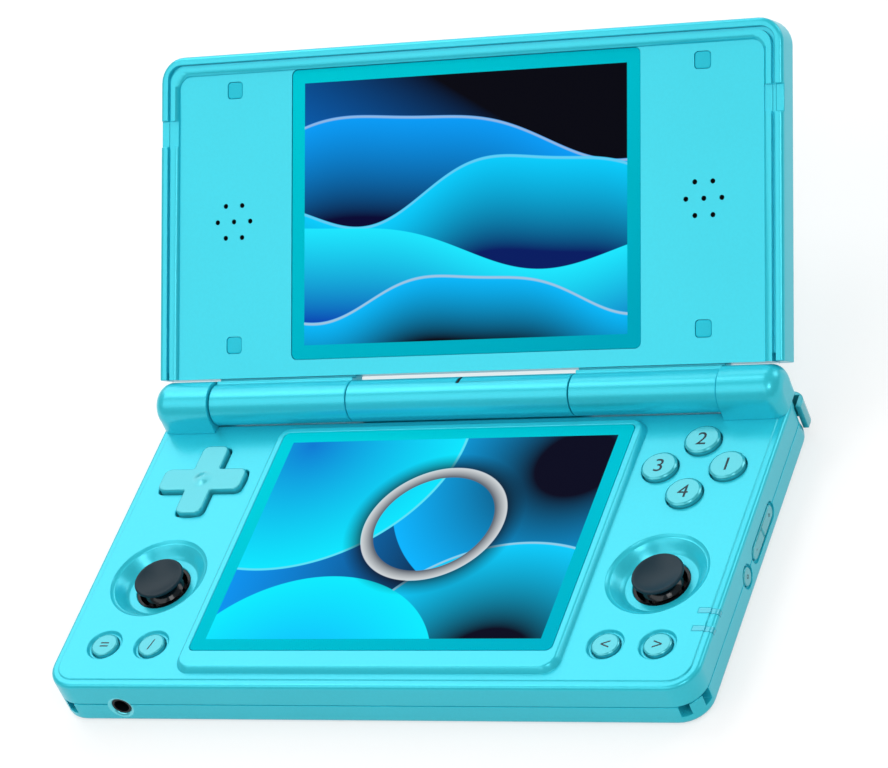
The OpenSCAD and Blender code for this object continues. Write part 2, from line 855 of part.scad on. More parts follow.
module main_board() {
    color(board_green) difference() {
        translate([0, board_y, board_z]) linear_extrude(board_t) round_rect(board_w, board_d, 3);
        for (s = [1, -1]) {
            translate([s * stick_x, stick_y, board_z - 1]) cylinder(r = housing_r + 0.3, h = 4);
        }
        for (p = case_screws_xy) {
            translate([p[0], p[1], board_z - 1]) cylinder(r = boss_r + 0.3, h = 4);
        }
        translate([jack_x, front_y + jack_depth / 2, board_z]) {
            cube([2 * jack_body_r + 1, jack_depth + 4, 6], center = true);
        }
        for (p = board_posts_xy) {
            translate([p[0], p[1], board_z - 1]) cylinder(r = 0.9, h = 4);
        }
    }
}

module battery() {
    color([0.75, 0.77, 0.8]) translate([0, battery_y, floor_t]) {
        linear_extrude(battery_t) round_rect(battery_w, battery_d, 1.5);
    }
}

module heat_spreader() {
    color([0.72, 0.45, 0.25]) translate([heat_x, heat_y, board_top]) {
        linear_extrude(heat_t) round_rect(heat_w, heat_d, 2);
    }
}

module button_membranes() {
    color([0.85, 0.87, 0.88]) {
        translate([-pad_x, pad_y, board_top]) {
            linear_extrude(membrane_sheet_t) round_rect(pad_sheet, pad_sheet, 5);
            for (a = [0:90:270]) {
                rotate(a) translate([pad_l / 2 - 3.4, 0, 0]) cylinder(r = 2.4, h = membrane_t);
            }
        }
        translate([face_x, face_y, board_top]) {
            linear_extrude(membrane_sheet_t) rotate(45) round_rect(face_sheet, face_sheet, 4);
            for (a = [0:90:270]) {
                rotate(a) translate([face_ring, 0, 0]) cylinder(r = 3, h = key_membrane_t);
            }
        }
        for (s = [1, -1]) {
            translate([s * (small_x1 + small_x2) / 2, small_y, board_top]) {
                linear_extrude(membrane_sheet_t) {
                    round_rect(small_x2 - small_x1 + small_sheet, small_sheet, 2);
                }
                for (x = sides((small_x2 - small_x1) / 2)) {
                    translate([x, 0, 0]) cylinder(r = 2.2, h = key_membrane_t);
                }
            }
        }
    }
}

module headphone_jack() {
    nose = wall - jack_ring_deep;
    color(charcoal) translate([jack_x, front_y + wall, jack_z]) rotate([-90, 0, 0]) difference() {
        union() {
            cylinder(r = jack_body_r, h = jack_depth);
            translate([0, 0, -nose]) cylinder(r = jack_nose_r, h = nose + eps);
        }
        translate([0, 0, -nose - eps]) cylinder(r = jack_r, h = jack_depth + nose - 1 + eps);
    }
}

module charging_port() {
    color(steel) translate([0, rear_y, port_z]) rotate([90, 0, 0]) difference() {
        linear_extrude(port_depth) stadium(port_w, port_h);
        translate([0, 0, -eps]) linear_extrude(port_depth - 0.8) difference() {
            stadium(port_w - 2 * port_shell_t, port_h - 2 * port_shell_t);
            square([port_w - 2.4, 0.7], center = true);
        }
    }
}

module card_slot() {
    color(steel) translate([card_x, rear_y - wall - card_d / 2, card_z]) difference() {
        cube([card_w + 2, card_d, card_h + 0.8], center = true);
        translate([0, 1, 0]) cube([card_w, card_d, card_h], center = true);
    }
}

module microphone() {
    color(steel) translate([0, hinge_y, hinge_z]) rotate([-mic_turn, 0, 0]) {
        translate([0, 0, barrel_r - cover_wall - 0.6]) cube([3.4, 1.4, 1], center = true);
    }
}

module light_box(y, grow) {
    translate([half_w - 4.8 - grow, y - light_w / 2 - grow, ceiling_z - 0.2]) {
        cube([6, light_w + 2 * grow, 3]);
    }
}

module status_light_pipes() {
    color([0.6, 0.95, 1]) for (y = [light_y1, light_y2]) {
        intersection() {
            light_box(y, 0);
            union() {
                base_outside();
                deck_pad();
            }
        }
    }
}

module side_switches() {
    color(steel) {
        for (dy = sides(5)) {
            translate([half_w - wall - side_flange_gap - side_flange_t - 1.3, rocker_y + dy, board_z - 1]) {
                cube([1.4, 3, 2], center = true);
            }
        }
        translate([half_w - wall - side_flange_gap - side_flange_t - 1.5, power_y, board_z - 1]) {
            cube([1.4, 3, 2], center = true);
        }
    }
}

module shoulder_switches() {
    posts = [shoulder_inner_x + shoulder_post_inner, shoulder_outer_x + shoulder_post_outer];
    y = rear_y - shoulder_reach - shoulder_switch_gap - switch_d / 2;
    color(steel) for (s = [1, -1], x = posts) {
        translate([s * x, y, floor_t + switch_h / 2]) {
            cube([switch_w, switch_d, switch_h], center = true);
        }
    }
}

module case_screws() {
    color(steel) for (p = case_screws_xy) {
        translate([p[0], p[1], head_sunk]) difference() {
            union() {
                cylinder(r = screw_head_r, h = head_t);
                cylinder(r = screw_r - slip, h = screw_reach);
            }
            translate([0, 0, -eps]) linear_extrude(0.5) {
                square([1.8, 0.4], center = true);
                square([0.4, 1.8], center = true);
            }
        }
    }
}

module rubber_feet() {
    color(charcoal) for (p = feet_xy) {
        translate([p[0], p[1], -foot_out]) cylinder(r = foot_r, h = foot_out + foot_sunk);
    }
}

// ---- Sticks ----

module stick_housing(s) {
    color(charcoal) translate([s * stick_x, stick_y, 0]) difference() {
        union() {
            translate([0, 0, housing_z]) cylinder(r = housing_r, h = housing_top - housing_z);
            translate([0, 0, housing_top - 1]) cylinder(r = collar_r, h = collar_z - housing_top + 1);
        }
        translate([0, 0, housing_z + housing_floor]) {
            cylinder(r = housing_cavity_r, h = housing_top - housing_plate - housing_z - housing_floor);
        }
        translate([0, 0, housing_top - 2]) cylinder(r = collar_in_r, h = 6);
        translate([0, 0, pivot_z]) rod_x(gimbal_pin_r + running, 2 * housing_r + 2);
    }
}

module stick_gimbal(s) {
    color(steel) translate([s * stick_x, stick_y, pivot_z]) difference() {
        union() {
            cylinder(r = gimbal_out_r, h = gimbal_h, center = true);
            rod_x(gimbal_pin_r, 2 * housing_r - 0.8);
        }
        cylinder(r = gimbal_in_r, h = 4, center = true);
        rotate(90) rod_x(gimbal_pin_r + running, 20);
    }
}

module stick_rocker(s) {
    color(charcoal) translate([s * stick_x, stick_y, pivot_z]) difference() {
        union() {
            cylinder(r = rocker_disc_r, h = gimbal_h, center = true);
            rotate(90) rod_x(gimbal_pin_r, 2 * gimbal_out_r - 0.4);
        }
        cylinder(r = stem_r + running, h = 4, center = true);
    }
}

// One turned piece: stem, dome and dished cap
module stick_cap(s) {
    top = cap_top_z - pivot_z;
    neck = top - cap_edge - 0.5;
    color(charcoal) translate([s * stick_x, stick_y, pivot_z]) rotate_extrude($fn = 64) polygon(concat(
        [[0, -1.2], [stem_r, -1.2], [stem_r, (dome_r - dome_t) * cos(16)]],
        [for (a = [18:8:dome_angle]) [(dome_r - dome_t) * sin(a), (dome_r - dome_t) * cos(a)]],
        [for (a = [dome_angle:-8:26]) [dome_r * sin(a), dome_r * cos(a)]],
        [[2.7, neck], [cap_r - 0.4, top - cap_edge], [cap_r, top - cap_edge + 0.3], [cap_r, top - 0.35],
            [cap_r - 0.15, top - 0.1], [cap_r - 0.5, top]],
        [for (r = [cap_r - 1:-1:0.5]) [r, top - cap_dish * (1 - pow(r / (cap_r - 0.5), 2))]],
        [[0, top - cap_dish]]));
}

// ---- Buttons ----

function face_places() = [for (a = [90, 180, 0, 270])
    [face_x + face_ring * cos(a), face_y + face_ring * sin(a)]];
function small_places() = [-small_x2, -small_x1, small_x1, small_x2];

module direction_pad() {
    top = deck_z + key_h;
    color(cyan) translate([-pad_x, pad_y, 0]) difference() {
        union() {
            translate([0, 0, pad_flange_top - eps]) linear_extrude(top - pad_flange_top + eps) pad_outline(0);
            translate([0, 0, pad_flange_top - pad_flange_t]) {
                linear_extrude(pad_flange_t) pad_outline(pad_flange_over);
            }
            translate([0, 0, top]) intersection() {
                translate([0, 0, pad_dome_rise - pad_dome_r]) sphere(r = pad_dome_r);
                cylinder(r = 4, h = 2);
            }
        }
        translate([0, 0, pad_flange_top - pad_flange_t - eps]) cylinder(r = pad_pivot_r + 0.4, h = 0.6);
    }
}

// Small post on which the direction pad rocks both ways
module pad_pivot() {
    z0 = board_top + membrane_t - 0.2;
    color(charcoal) translate([-pad_x, pad_y, z0]) {
        cylinder(r = pad_pivot_r, h = pad_pivot_z + 0.1 - z0);
    }
}

module face_button(i) {
    p = face_places()[i];
    shoulder = deck_z + key_h - key_bevel;
    color(cyan) translate([p[0], p[1], 0]) {
        translate([0, 0, key_flange_top - key_flange_t]) {
            cylinder(r = face_r + key_flange_over, h = key_flange_t);
        }
        translate([0, 0, key_flange_top - eps]) cylinder(r = face_r, h = shoulder - key_flange_top + eps);
        translate([0, 0, shoulder - eps]) cylinder(r1 = face_r, r2 = face_r - key_bevel, h = key_bevel + eps);
    }
}

module small_button(i) {
    top = deck_z + small_rise;
    color(cyan) translate([small_places()[i], small_y, 0]) {
        translate([0, 0, key_flange_top - key_flange_t + 0.1]) {
            cylinder(r = small_r + small_flange_over, h = key_flange_t);
        }
        translate([0, 0, key_flange_top - eps]) cylinder(r = small_r, h = top - 0.25 - key_flange_top + eps);
        translate([0, 0, top - 0.25 - eps]) cylinder(r1 = small_r, r2 = small_r - 0.25, h = 0.25 + eps);
    }
}

module volume_rocker() {
    back = -wall - side_flange_gap;
    color(cyan) on_right_wall(rocker_y, side_z) difference() {
        union() {
            translate([0, 0, back - eps]) linear_extrude(-back + eps) stadium(rocker_l, rocker_h);
            translate([0, 0, back - side_flange_t]) {
                linear_extrude(side_flange_t) stadium(rocker_l + 1.6, rocker_h + 1.2);
            }
        }
        cube([0.5, rocker_h * 0.8, 0.5], center = true);
    }
}

module power_button() {
    back = -wall - side_flange_gap;
    color(cyan) on_right_wall(power_y, side_z) {
        translate([0, 0, back - eps]) cylinder(r = power_r, h = -back + eps);
        translate([0, 0, back - side_flange_t]) cylinder(r = power_r + 0.7, h = side_flange_t);
    }
}

// Hollow cap that wraps the rear corner
module shoulder_outer(s) {
    w = shoulder_w;
    d = shoulder_reach + shoulder_out;
    x1 = half_w + shoulder_out;
    y1 = rear_y + shoulder_out;
    r = shoulder_corner_r;
    color(cyan) mirror([s < 0 ? 1 : 0, 0, 0]) difference() {
        translate([0, 0, shoulder_z]) linear_extrude(shoulder_h) difference() {
            union() {
                translate([x1 - w, y1 - d]) square([w - r, d]);
                translate([x1 - r - eps, y1 - d]) square([r + eps, d - r]);
                intersection() {
                    translate([x1 - r, y1 - r]) circle(r = r);
                    translate([x1 - r - eps, y1 - r - eps]) square(2 * r);
                }
            }
            difference() {
                translate([x1 - w - 1, y1 - d - 1]) square([w - shoulder_shell + 1, d + 1 - shoulder_shell]);
                translate([x1 - w + shoulder_post_outer - 0.7, y1 - d]) square([1.4, d]);
            }
        }
        translate([x1 - w + 4, y1 - shoulder_shell, shoulder_top_z]) cube([w, 0.4, 0.4], center = true);
    }
}

module shoulder_inner(s) {
    side = 1.2;
    w = shoulder_w;
    d = shoulder_reach + shoulder_out;
    y1 = rear_y + shoulder_out;
    color(cyan) mirror([s < 0 ? 1 : 0, 0, 0]) translate([shoulder_inner_x, 0, shoulder_z]) {
        linear_extrude(shoulder_h) difference() {
            translate([w / 2 + shoulder_gap / 2, y1 - d / 2]) round_rect(w - shoulder_gap, d, 1);
            difference() {
                translate([shoulder_gap + side, y1 - d - 1]) {
                    square([w - shoulder_gap - 2 * side, d + 1 - shoulder_shell]);
                }
                translate([shoulder_post_inner - 0.7, y1 - d]) square([1.4, d]);
            }
        }
    }
}

// ---- Lid ----

module lid_plate(w, u0, u1, z0, z1, rc) {
    translate([0, (u0 + u1) / 2, z0]) linear_extrude(z1 - z0) round_rect(w, u1 - u0, rc);
}

// Everything past the lid's straight lower edge
module below_lid() {
    translate([0, lid_bottom - 50, 0]) cube([300, 100, 100], center = true);
}

// Light notches across the rim, one on each side
module lid_notches() {
    for (s = [1, -1]) {
        translate([s * (half_w + 1 - (notch_in + 3) / 2), notch_u, lid_rim - notch_deep + 1]) {
            cube([notch_in + 3, notch_l, 2], center = true);
        }
    }
}

module lid_shell() {
    depth = lid_top - lid_bottom + lid_trim;
    inner_w = 2 * (half_w - lid_rim_w);
    color(cyan) at_lid() difference() {
        union() {
            difference() {
                translate([0, lid_top - depth / 2, 0]) {
                    soft_block(body_w, depth, -lid_back, lid_rim, lid_corner_r,
                        lid_edge_round, lid_back_round);
                }
                below_lid();
                // Room for the panel, open down to the lower edge
                lid_plate(inner_w, lid_bottom + lid_wall, lid_top - lid_rim_w, lid_floor, 9, panel_corner_r);
                lid_plate(inner_w, lid_bottom - 9, lid_bottom + 9, lid_panel_back - 0.1, 9, 0.5);
                lid_notches();
            }
            for (s = [1, -1]) {
                x = (mid_barrel_half + knuckle_x) / 2;
                l = knuckle_x - mid_barrel_half - 2 * barrel_gap;
                translate([s * x, 0, 0]) {
                    rod_x(barrel_r, l);
                    rotate([90, 0, 90]) linear_extrude(l, center = true) polygon([[0, 0.4 - barrel_r],
                        [lid_bottom + 1, 0.4 - barrel_r], [lid_bottom + 1, lid_panel_back - 0.1],
                        [lid_bottom - 0.5, lid_panel_back - 0.1],
                        [lid_bottom - 0.5, lid_panel], [0, lid_panel]]);
                }
            }
            for (x = sides(plug_x), u = sides(plug_u)) {
                translate([x, upper_glass_u + u, lid_floor - eps]) {
                    cylinder(r = lid_boss_r, h = lid_panel_back - lid_floor - 0.3);
                }
            }
        }
        rod_x(lid_pivot_bore, body_w);
        for (s = [1, -1]) {
            translate([s * (mid_barrel_half + 0.5), 0, 0]) rod_x(bush_r + running, 10);
        }
        for (x = sides(plug_x), u = sides(plug_u)) {
            translate([x, upper_glass_u + u, lid_floor - 0.4]) cylinder(r = screw_r, h = 8);
        }
    }
}

module lid_panel_frame() {
    w = 2 * lid_inner_half;
    low = lid_bottom - lid_trim;
    step = lid_border * 0.6;
    color(cyan) at_lid() difference() {
        union() {
            lid_plate(w, low, lid_front_end, lid_panel_back, lid_panel, panel_corner_r);
            difference() {
                lid_plate(w, low, lid_front_end, lid_panel_back, lid_rim, panel_corner_r);
                lid_plate(w - 2 * step, low - lid_trim, lid_front_end - step,
                    (lid_panel + lid_rim) / 2, 9, 3);
                lid_plate(w - 2 * lid_border, low - lid_trim, lid_front_end - lid_border, -9, 9, 3);
            }
            for (x = sides(speaker_x)) {
                translate([x, speaker_u, lid_panel_back - 0.5]) difference() {
                    cylinder(r = speaker_r + 0.9, h = 1);
                    cylinder(r = speaker_r + 0.1, h = 0.5);
                }
            }
        }
        below_lid();
        translate([0, upper_glass_u, lid_glass_z - glass_t]) linear_extrude(9) {
            round_rect(glass_w + 2 * glass_gap, glass_d + 2 * glass_gap, glass_corner_r);
        }
        translate([0, upper_glass_u, 0]) {
            cube([lcd_w + 2 * glass_gap, lcd_d + 2 * glass_gap, 20], center = true);
        }
        for (x = sides(speaker_x)) {
            translate([x, speaker_u, lid_panel_back - 1]) {
                cylinder(r = speaker_hole_r, h = 4);
                for (a = [0:60:300]) {
                    rotate(a) translate([speaker_pitch, 0, 0]) cylinder(r = speaker_hole_r, h = 4);
                }
            }
        }
        for (x = sides(plug_x), u = sides(plug_u)) {
            translate([x, upper_glass_u + u, 0]) {
                translate([0, 0, lid_panel - plug_t]) linear_extrude(4) {
                    round_rect(plug_side + 0.2, plug_side + 0.2, 0.9);
                }
                translate([0, 0, -3]) cylinder(r = screw_r + 0.1, h = 6);
            }
        }
        lid_notches();
    }
}

module upper_glass() {
    color(screen_teal) at_lid() translate([0, upper_glass_u, lid_glass_z - glass_t]) linear_extrude(glass_t) {
        round_rect(glass_w, glass_d, glass_corner_r);
    }
}

module upper_display() {
    color([0.1, 0.35, 0.8]) at_lid() translate([0, upper_glass_u, lid_glass_z - glass_t - lcd_upper_t / 2]) {
        cube([lcd_w, lcd_d, lcd_upper_t], center = true);
    }
}

module speakers() {
    color(charcoal) at_lid() for (x = sides(speaker_x)) {
        translate([x, speaker_u, lid_floor]) cylinder(r = speaker_r, h = speaker_t);
    }
}

module speaker_gaskets() {
    color([0.3, 0.32, 0.34]) at_lid() for (x = sides(speaker_x)) {
        translate([x, speaker_u, lid_floor + speaker_t]) difference() {
            cylinder(r = speaker_r, h = lid_panel_back - lid_floor - speaker_t);
            translate([0, 0, -1]) cylinder(r = speaker_r - 1.5, h = 4);
        }
    }
}

module lid_screws() {
    color(steel) at_lid() for (x = sides(plug_x), u = sides(plug_u)) {
        translate([x, upper_glass_u + u, 0]) {
            translate([0, 0, lid_panel - plug_t - 3.4]) cylinder(r = screw_r - slip, h = 3.4);
        }
    }
}

module screw_plugs() {
    color(screen_teal) at_lid() for (x = sides(plug_x), u = sides(plug_u)) {
        translate([x, upper_glass_u + u, lid_panel - plug_t]) linear_extrude(plug_t - 0.1) {
            round_rect(plug_side, plug_side, 0.8);
        }
    }
}

// Magnet that tells the base when the lid is shut
module lid_magnet() {
    color(steel) at_lid() translate([-magnet_x, magnet_u, lid_floor + magnet_t / 2]) {
        cube([magnet_w, magnet_d, magnet_t], center = true);
    }
}

lower_shell();
upper_shell();
hinge_ends();
hinge_cover();
hinge_pins();
hinge_bushes();
hinge_flex_cable();
lower_glass();
lower_display();
main_board();
battery();
heat_spreader();
button_membranes();
headphone_jack();
charging_port();
card_slot();
microphone();
status_light_pipes();
side_switches();
shoulder_switches();
case_screws();
rubber_feet();
stick_housing(-1);  // stick_left_housing
stick_gimbal(-1);  // stick_left_gimbal
stick_rocker(-1);  // stick_left_rocker
stick_cap(-1);  // stick_left_cap
stick_housing(1);  // stick_right_housing
stick_gimbal(1);  // stick_right_gimbal
stick_rocker(1);  // stick_right_rocker
stick_cap(1);  // stick_right_cap
pad_pivot();
direction_pad();
face_button(0);  // face_button_top
face_button(1);  // face_button_left
face_button(2);  // face_button_right
face_button(3);  // face_button_bottom
small_button(0);  // small_button_1
small_button(1);  // small_button_2
small_button(2);  // small_button_3
small_button(3);  // small_button_4
volume_rocker();
power_button();
shoulder_outer(-1);  // shoulder_left_outer
shoulder_inner(-1);  // shoulder_left_inner
shoulder_outer(1);  // shoulder_right_outer
shoulder_inner(1);  // shoulder_right_inner
lid_shell();
lid_panel_frame();
upper_glass();
upper_display();
speakers();
lid_screws();
screw_plugs();
lid_magnet();
speaker_gaskets();
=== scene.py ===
# Clamshell handheld game console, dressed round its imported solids.
# Metres throughout, +X right along the hinge, +Y back, +Z up.
import math
import bmesh
import bpy
from mathutils import Matrix, Vector


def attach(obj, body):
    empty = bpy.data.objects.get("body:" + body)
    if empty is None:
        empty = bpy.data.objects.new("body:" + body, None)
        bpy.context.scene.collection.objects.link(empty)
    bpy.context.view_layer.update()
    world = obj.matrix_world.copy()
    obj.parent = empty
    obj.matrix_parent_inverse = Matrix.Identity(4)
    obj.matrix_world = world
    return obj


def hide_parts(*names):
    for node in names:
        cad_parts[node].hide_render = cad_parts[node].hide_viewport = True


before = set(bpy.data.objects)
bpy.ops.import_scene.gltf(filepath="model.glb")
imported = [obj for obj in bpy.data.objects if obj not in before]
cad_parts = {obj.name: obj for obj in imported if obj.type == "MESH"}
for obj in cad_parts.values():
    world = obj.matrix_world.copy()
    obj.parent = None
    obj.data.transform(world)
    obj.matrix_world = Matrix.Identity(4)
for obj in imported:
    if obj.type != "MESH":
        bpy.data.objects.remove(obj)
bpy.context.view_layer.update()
MM = 0.001

# ---- Camera ----
# A long lens from the front right, held with the body's long side leaning.
camera_azimuth = math.radians(34.293476)
camera_elevation = math.radians(38.446123)
camera_roll = math.radians(-24.737128)
back = Vector((math.sin(camera_azimuth) * math.cos(camera_elevation),
               -math.cos(camera_azimuth) * math.cos(camera_elevation),
               math.sin(camera_elevation)))
right = Vector((math.cos(camera_azimuth), math.sin(camera_azimuth), 0))
up = back.cross(right)
turned_right = right * math.cos(camera_roll) + up * math.sin(camera_roll)
turned_up = up * math.cos(camera_roll) - right * math.sin(camera_roll)
lens = bpy.data.cameras.new("camera")
lens.sensor_width = 36
lens.lens = 174.67
lens.clip_start = 0.05
camera_place = (0.434741, -0.602424, 0.637967)
camera = bpy.data.objects.new("camera", lens)
bpy.context.scene.collection.objects.link(camera)
camera.matrix_world = Matrix((
    (turned_right.x, turned_up.x, back.x, camera_place[0]),
    (turned_right.y, turned_up.y, back.y, camera_place[1]),
    (turned_right.z, turned_up.z, back.z, camera_place[2]),
    (0, 0, 0, 1)))
bpy.context.scene.camera = camera
bpy.context.scene.view_settings.view_transform = "Standard"

# ---- Studio ----
# A pale table under an even sky, with softboxes at both back corners, a
# wide one at the front and small bright ones at the right and overhead.


def new_material(name):
    """Material with its node tree and its shader."""
    material = bpy.data.materials.new(name)
    material.use_nodes = True
    tree = material.node_tree
    return material, tree, tree.nodes["Principled BSDF"]


def add(tree, kind, **values):
    """New node with its settings."""
    node = tree.nodes.new(kind)
    for key, value in values.items():
        setattr(node, key, value)
    return node


def join(tree, socket, value):
    """Links an input to a socket, or sets it to a constant."""
    if isinstance(value, bpy.types.NodeSocket):
        tree.links.new(value, socket)
    else:
        socket.default_value = value


def feed(tree, node, **values):
    """Joins a node's inputs by name, with underscores for spaces, or by number as i0, i1 and so on."""
    for key, value in values.items():
        numbered = key[0] == "i" and key[1:].isdigit()
        join(tree, node.inputs[int(key[1:]) if numbered else key.replace("_", " ")], value)
    return node


def blend(tree, factor, first, second):
    """Colour between two colours, each a constant or a socket."""
    return feed(tree, add(tree, "ShaderNodeMix", data_type="RGBA"), i0=factor, i6=first, i7=second).outputs[2]


def level(tree, value, low, high, out_low=0.0, out_high=1.0):
    """Value mapped from one span to another and held inside it."""
    node = feed(tree, add(tree, "ShaderNodeMapRange"), Value=value, From_Min=low, From_Max=high,
                To_Min=out_low, To_Max=out_high)
    return node.outputs[0]


def sums(tree, operation, *values):
    """One step of arithmetic on constants and sockets."""
    node = add(tree, "ShaderNodeMath", operation=operation)
    for socket, value in zip(node.inputs, values):
        join(tree, socket, value)
    return node.outputs[0]


def softbox(name, place, target, size, power):
    """Rectangular light aimed at a point."""
    light = bpy.data.lights.new(name, "AREA")
    light.shape = "RECTANGLE"
    light.size, light.size_y = size
    light.energy = power
    lamp = bpy.data.objects.new(name, light)
    aim = (Vector(target) - Vector(place)).to_track_quat("-Z", "Y").to_matrix().to_4x4()
    lamp.matrix_world = Matrix.Translation(place) @ aim
    bpy.context.scene.collection.objects.link(lamp)


# Name, place, what it points at, size in metres, and watts.
softbox("back_left_box", (-0.52, 0.75, 0.72), (0, 0, 0.02), (0.95, 0.70), 3.4)
softbox("back_right_box", (0.66, 0.72, 0.52), (0, 0, 0.02), (0.45, 0.46), 1.7)
softbox("front_box", (-0.36, -0.62, 0.84), (0, 0.04, 0.04), (1.15, 0.60), 3.1)
softbox("right_box", (0.56, -0.50, 0.90), (0, 0, 0.02), (0.36, 0.36), 2.2)
softbox("top_box", (-0.46, 0.19, 0.92), (0, 0.02, 0.02), (0.40, 0.36), 1.5)

sky_strength = 0.39
world = bpy.data.worlds.new("sky")
world.use_nodes = True
bpy.context.scene.world = world
sky = world.node_tree
sky_colour = add(sky, "ShaderNodeBackground")
camera_white = add(sky, "ShaderNodeBackground")
seen = add(sky, "ShaderNodeLightPath")
blend_sky = add(sky, "ShaderNodeMixShader")
feed(sky, sky_colour, Color=(1, 1, 1, 1), Strength=sky_strength)
feed(sky, camera_white, Color=(1, 1, 1, 1), Strength=1.0)
feed(sky, blend_sky, i0=seen.outputs["Is Camera Ray"], i1=sky_colour.outputs[0], i2=camera_white.outputs[0])
sky.links.new(blend_sky.outputs[0], sky.nodes["World Output"].inputs["Surface"])

# The floor lies under the feet, and looks brighter to the camera than to what it lights.
foot_drop = 0.4
floor_reach = 3
floor_glow = 0.62
floor_mesh = bpy.data.meshes.new("floor")
floor_mesh.from_pydata([(x * floor_reach, y * floor_reach, -foot_drop * MM)
                        for x, y in ((-1, -1), (1, -1), (1, 1), (-1, 1))], [], [(0, 1, 2, 3)])
floor = bpy.data.objects.new("floor", floor_mesh)
bpy.context.scene.collection.objects.link(floor)
floor_paint, tree, shader = new_material("floor_paint")
feed(tree, shader, Base_Color=(0.45, 0.45, 0.45, 1), Roughness=0.9, Specular_IOR_Level=0.1)
looked_at = add(tree, "ShaderNodeLightPath")
watched = sums(tree, "MAXIMUM", looked_at.outputs["Is Camera Ray"], looked_at.outputs["Is Glossy Ray"])
watched = sums(tree, "MAXIMUM", watched, looked_at.outputs["Is Transmission Ray"])
glow = add(tree, "ShaderNodeEmission")
feed(tree, glow, Strength=floor_glow)
both = add(tree, "ShaderNodeAddShader")
feed(tree, both, i0=shader.outputs[0], i1=glow.outputs[0])
pick = add(tree, "ShaderNodeMixShader")
feed(tree, pick, i0=watched, i1=shader.outputs[0], i2=both.outputs[0])
tree.links.new(pick.outputs[0], tree.nodes["Material Output"].inputs["Surface"])
floor_mesh.materials.append(floor_paint)

# ---- Base shells ----
# Two injection-moulded halves in pearl cyan, screwed together from below.
# The lower one is a tray; the upper one carries the deck, the stick bowls
# and the raised frame of the lower screen.


def grain_group():
    """Metallic flakes under lacquer: colour drifts a little, roughness speckles, and the skin ripples slightly."""
    group = bpy.data.node_groups.new("pearl_grain", "ShaderNodeTree")
    for name, kind in (("Colour", "Color"), ("Drift", "Float"), ("Flake size", "Float"), ("Roughness", "Float")):
        group.interface.new_socket(name, in_out="INPUT", socket_type="NodeSocket" + kind)
    for name, kind in (("Colour", "Color"), ("Roughness", "Float"), ("Height", "Float")):
        group.interface.new_socket(name, in_out="OUTPUT", socket_type="NodeSocket" + kind)
    inlet = add(group, "NodeGroupInput")
    outlet = add(group, "NodeGroupOutput")
    spot = add(group, "ShaderNodeTexCoord").outputs["Object"]
    cloud = feed(group, add(group, "ShaderNodeTexNoise"), Vector=spot, Scale=22, Detail=2.0, Roughness=0.5)
    flakes = feed(group, add(group, "ShaderNodeTexNoise"), Vector=spot, Scale=inlet.outputs["Flake size"],
                  Detail=1.0, Roughness=0.6)
    drift = level(group, cloud.outputs["Fac"], 0.3, 0.7, sums(group, "SUBTRACT", 1.0, inlet.outputs["Drift"]),
                  sums(group, "ADD", 1.0, inlet.outputs["Drift"]))
    glint = level(group, flakes.outputs["Fac"], 0.35, 0.65, 0.99, 1.01)
    tint = feed(group, add(group, "ShaderNodeVectorMath", operation="SCALE"), i0=inlet.outputs["Colour"],
                Scale=sums(group, "MULTIPLY", drift, glint))
    speckle = level(group, flakes.outputs["Fac"], 0.3, 0.7, -0.008, 0.008)
    rough = sums(group, "ADD", inlet.outputs["Roughness"], speckle)
    group.links.new(tint.outputs[0], outlet.inputs["Colour"])
    group.links.new(rough, outlet.inputs["Roughness"])
    group.links.new(flakes.outputs["Fac"], outlet.inputs["Height"])
    return group


pearl_grain = grain_group()


def pearl(name, colour, roughness=0.34, shine=0.5, drift=0.015, flake=1400, coat=0.2, bump=0.006, metallic=0.0):
    """Lacquered or bare moulding material in one colour."""
    material, tree, shader = new_material(name)
    grain = add(tree, "ShaderNodeGroup")
    grain.node_tree = pearl_grain
    feed(tree, grain, Colour=(*colour, 1), Drift=drift, Flake_size=flake, Roughness=roughness)
    relief = feed(tree, add(tree, "ShaderNodeBump"), Strength=bump, Distance=0.00005, Height=grain.outputs["Height"])
    feed(tree, shader, Base_Color=grain.outputs["Colour"], Roughness=grain.outputs["Roughness"],
         Normal=relief.outputs["Normal"], Coat_Weight=coat, Specular_IOR_Level=shine, Coat_Roughness=0.12,
         Metallic=metallic)
    return material


def cast(form, name, *materials, soft_angle=None):
    """Linked object from a finished bmesh, with its materials and the angle above which an edge is sharp."""
    mesh = bpy.data.meshes.new(name)
    form.to_mesh(mesh)
    form.free()
    if soft_angle:
        mesh.set_sharp_from_angle(angle=math.radians(soft_angle))
    for material in materials:
        mesh.materials.append(material)
    piece = bpy.data.objects.new(name, mesh)
    bpy.context.scene.collection.objects.link(piece)
    return piece


def evaluated_mesh(piece):
    """Plain mesh of an object with its modifiers applied."""
    bpy.context.view_layer.update()
    return bpy.data.meshes.new_from_object(piece.evaluated_get(bpy.context.evaluated_depsgraph_get()))


def flatten_faces(piece):
    """Turns a piece's modifiers into mesh, with normals led by its largest faces."""
    flats = piece.modifiers.new("flat_faces", "WEIGHTED_NORMAL")
    flats.weight = 50
    flats.keep_sharp = True
    finished = evaluated_mesh(piece)
    piece.modifiers.clear()
    piece.data = finished


def stand_for(piece, body, slot, *nodes):
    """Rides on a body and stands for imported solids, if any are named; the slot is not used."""
    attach(piece, body)
    if nodes:
        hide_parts(*nodes)


# Corners closer than the first are welded, edges shorter than the second go,
# and faces that lie within the third, in degrees, become one flat.
weld_gap, sliver, flat_angle = 0.003, 0.002, 0.08


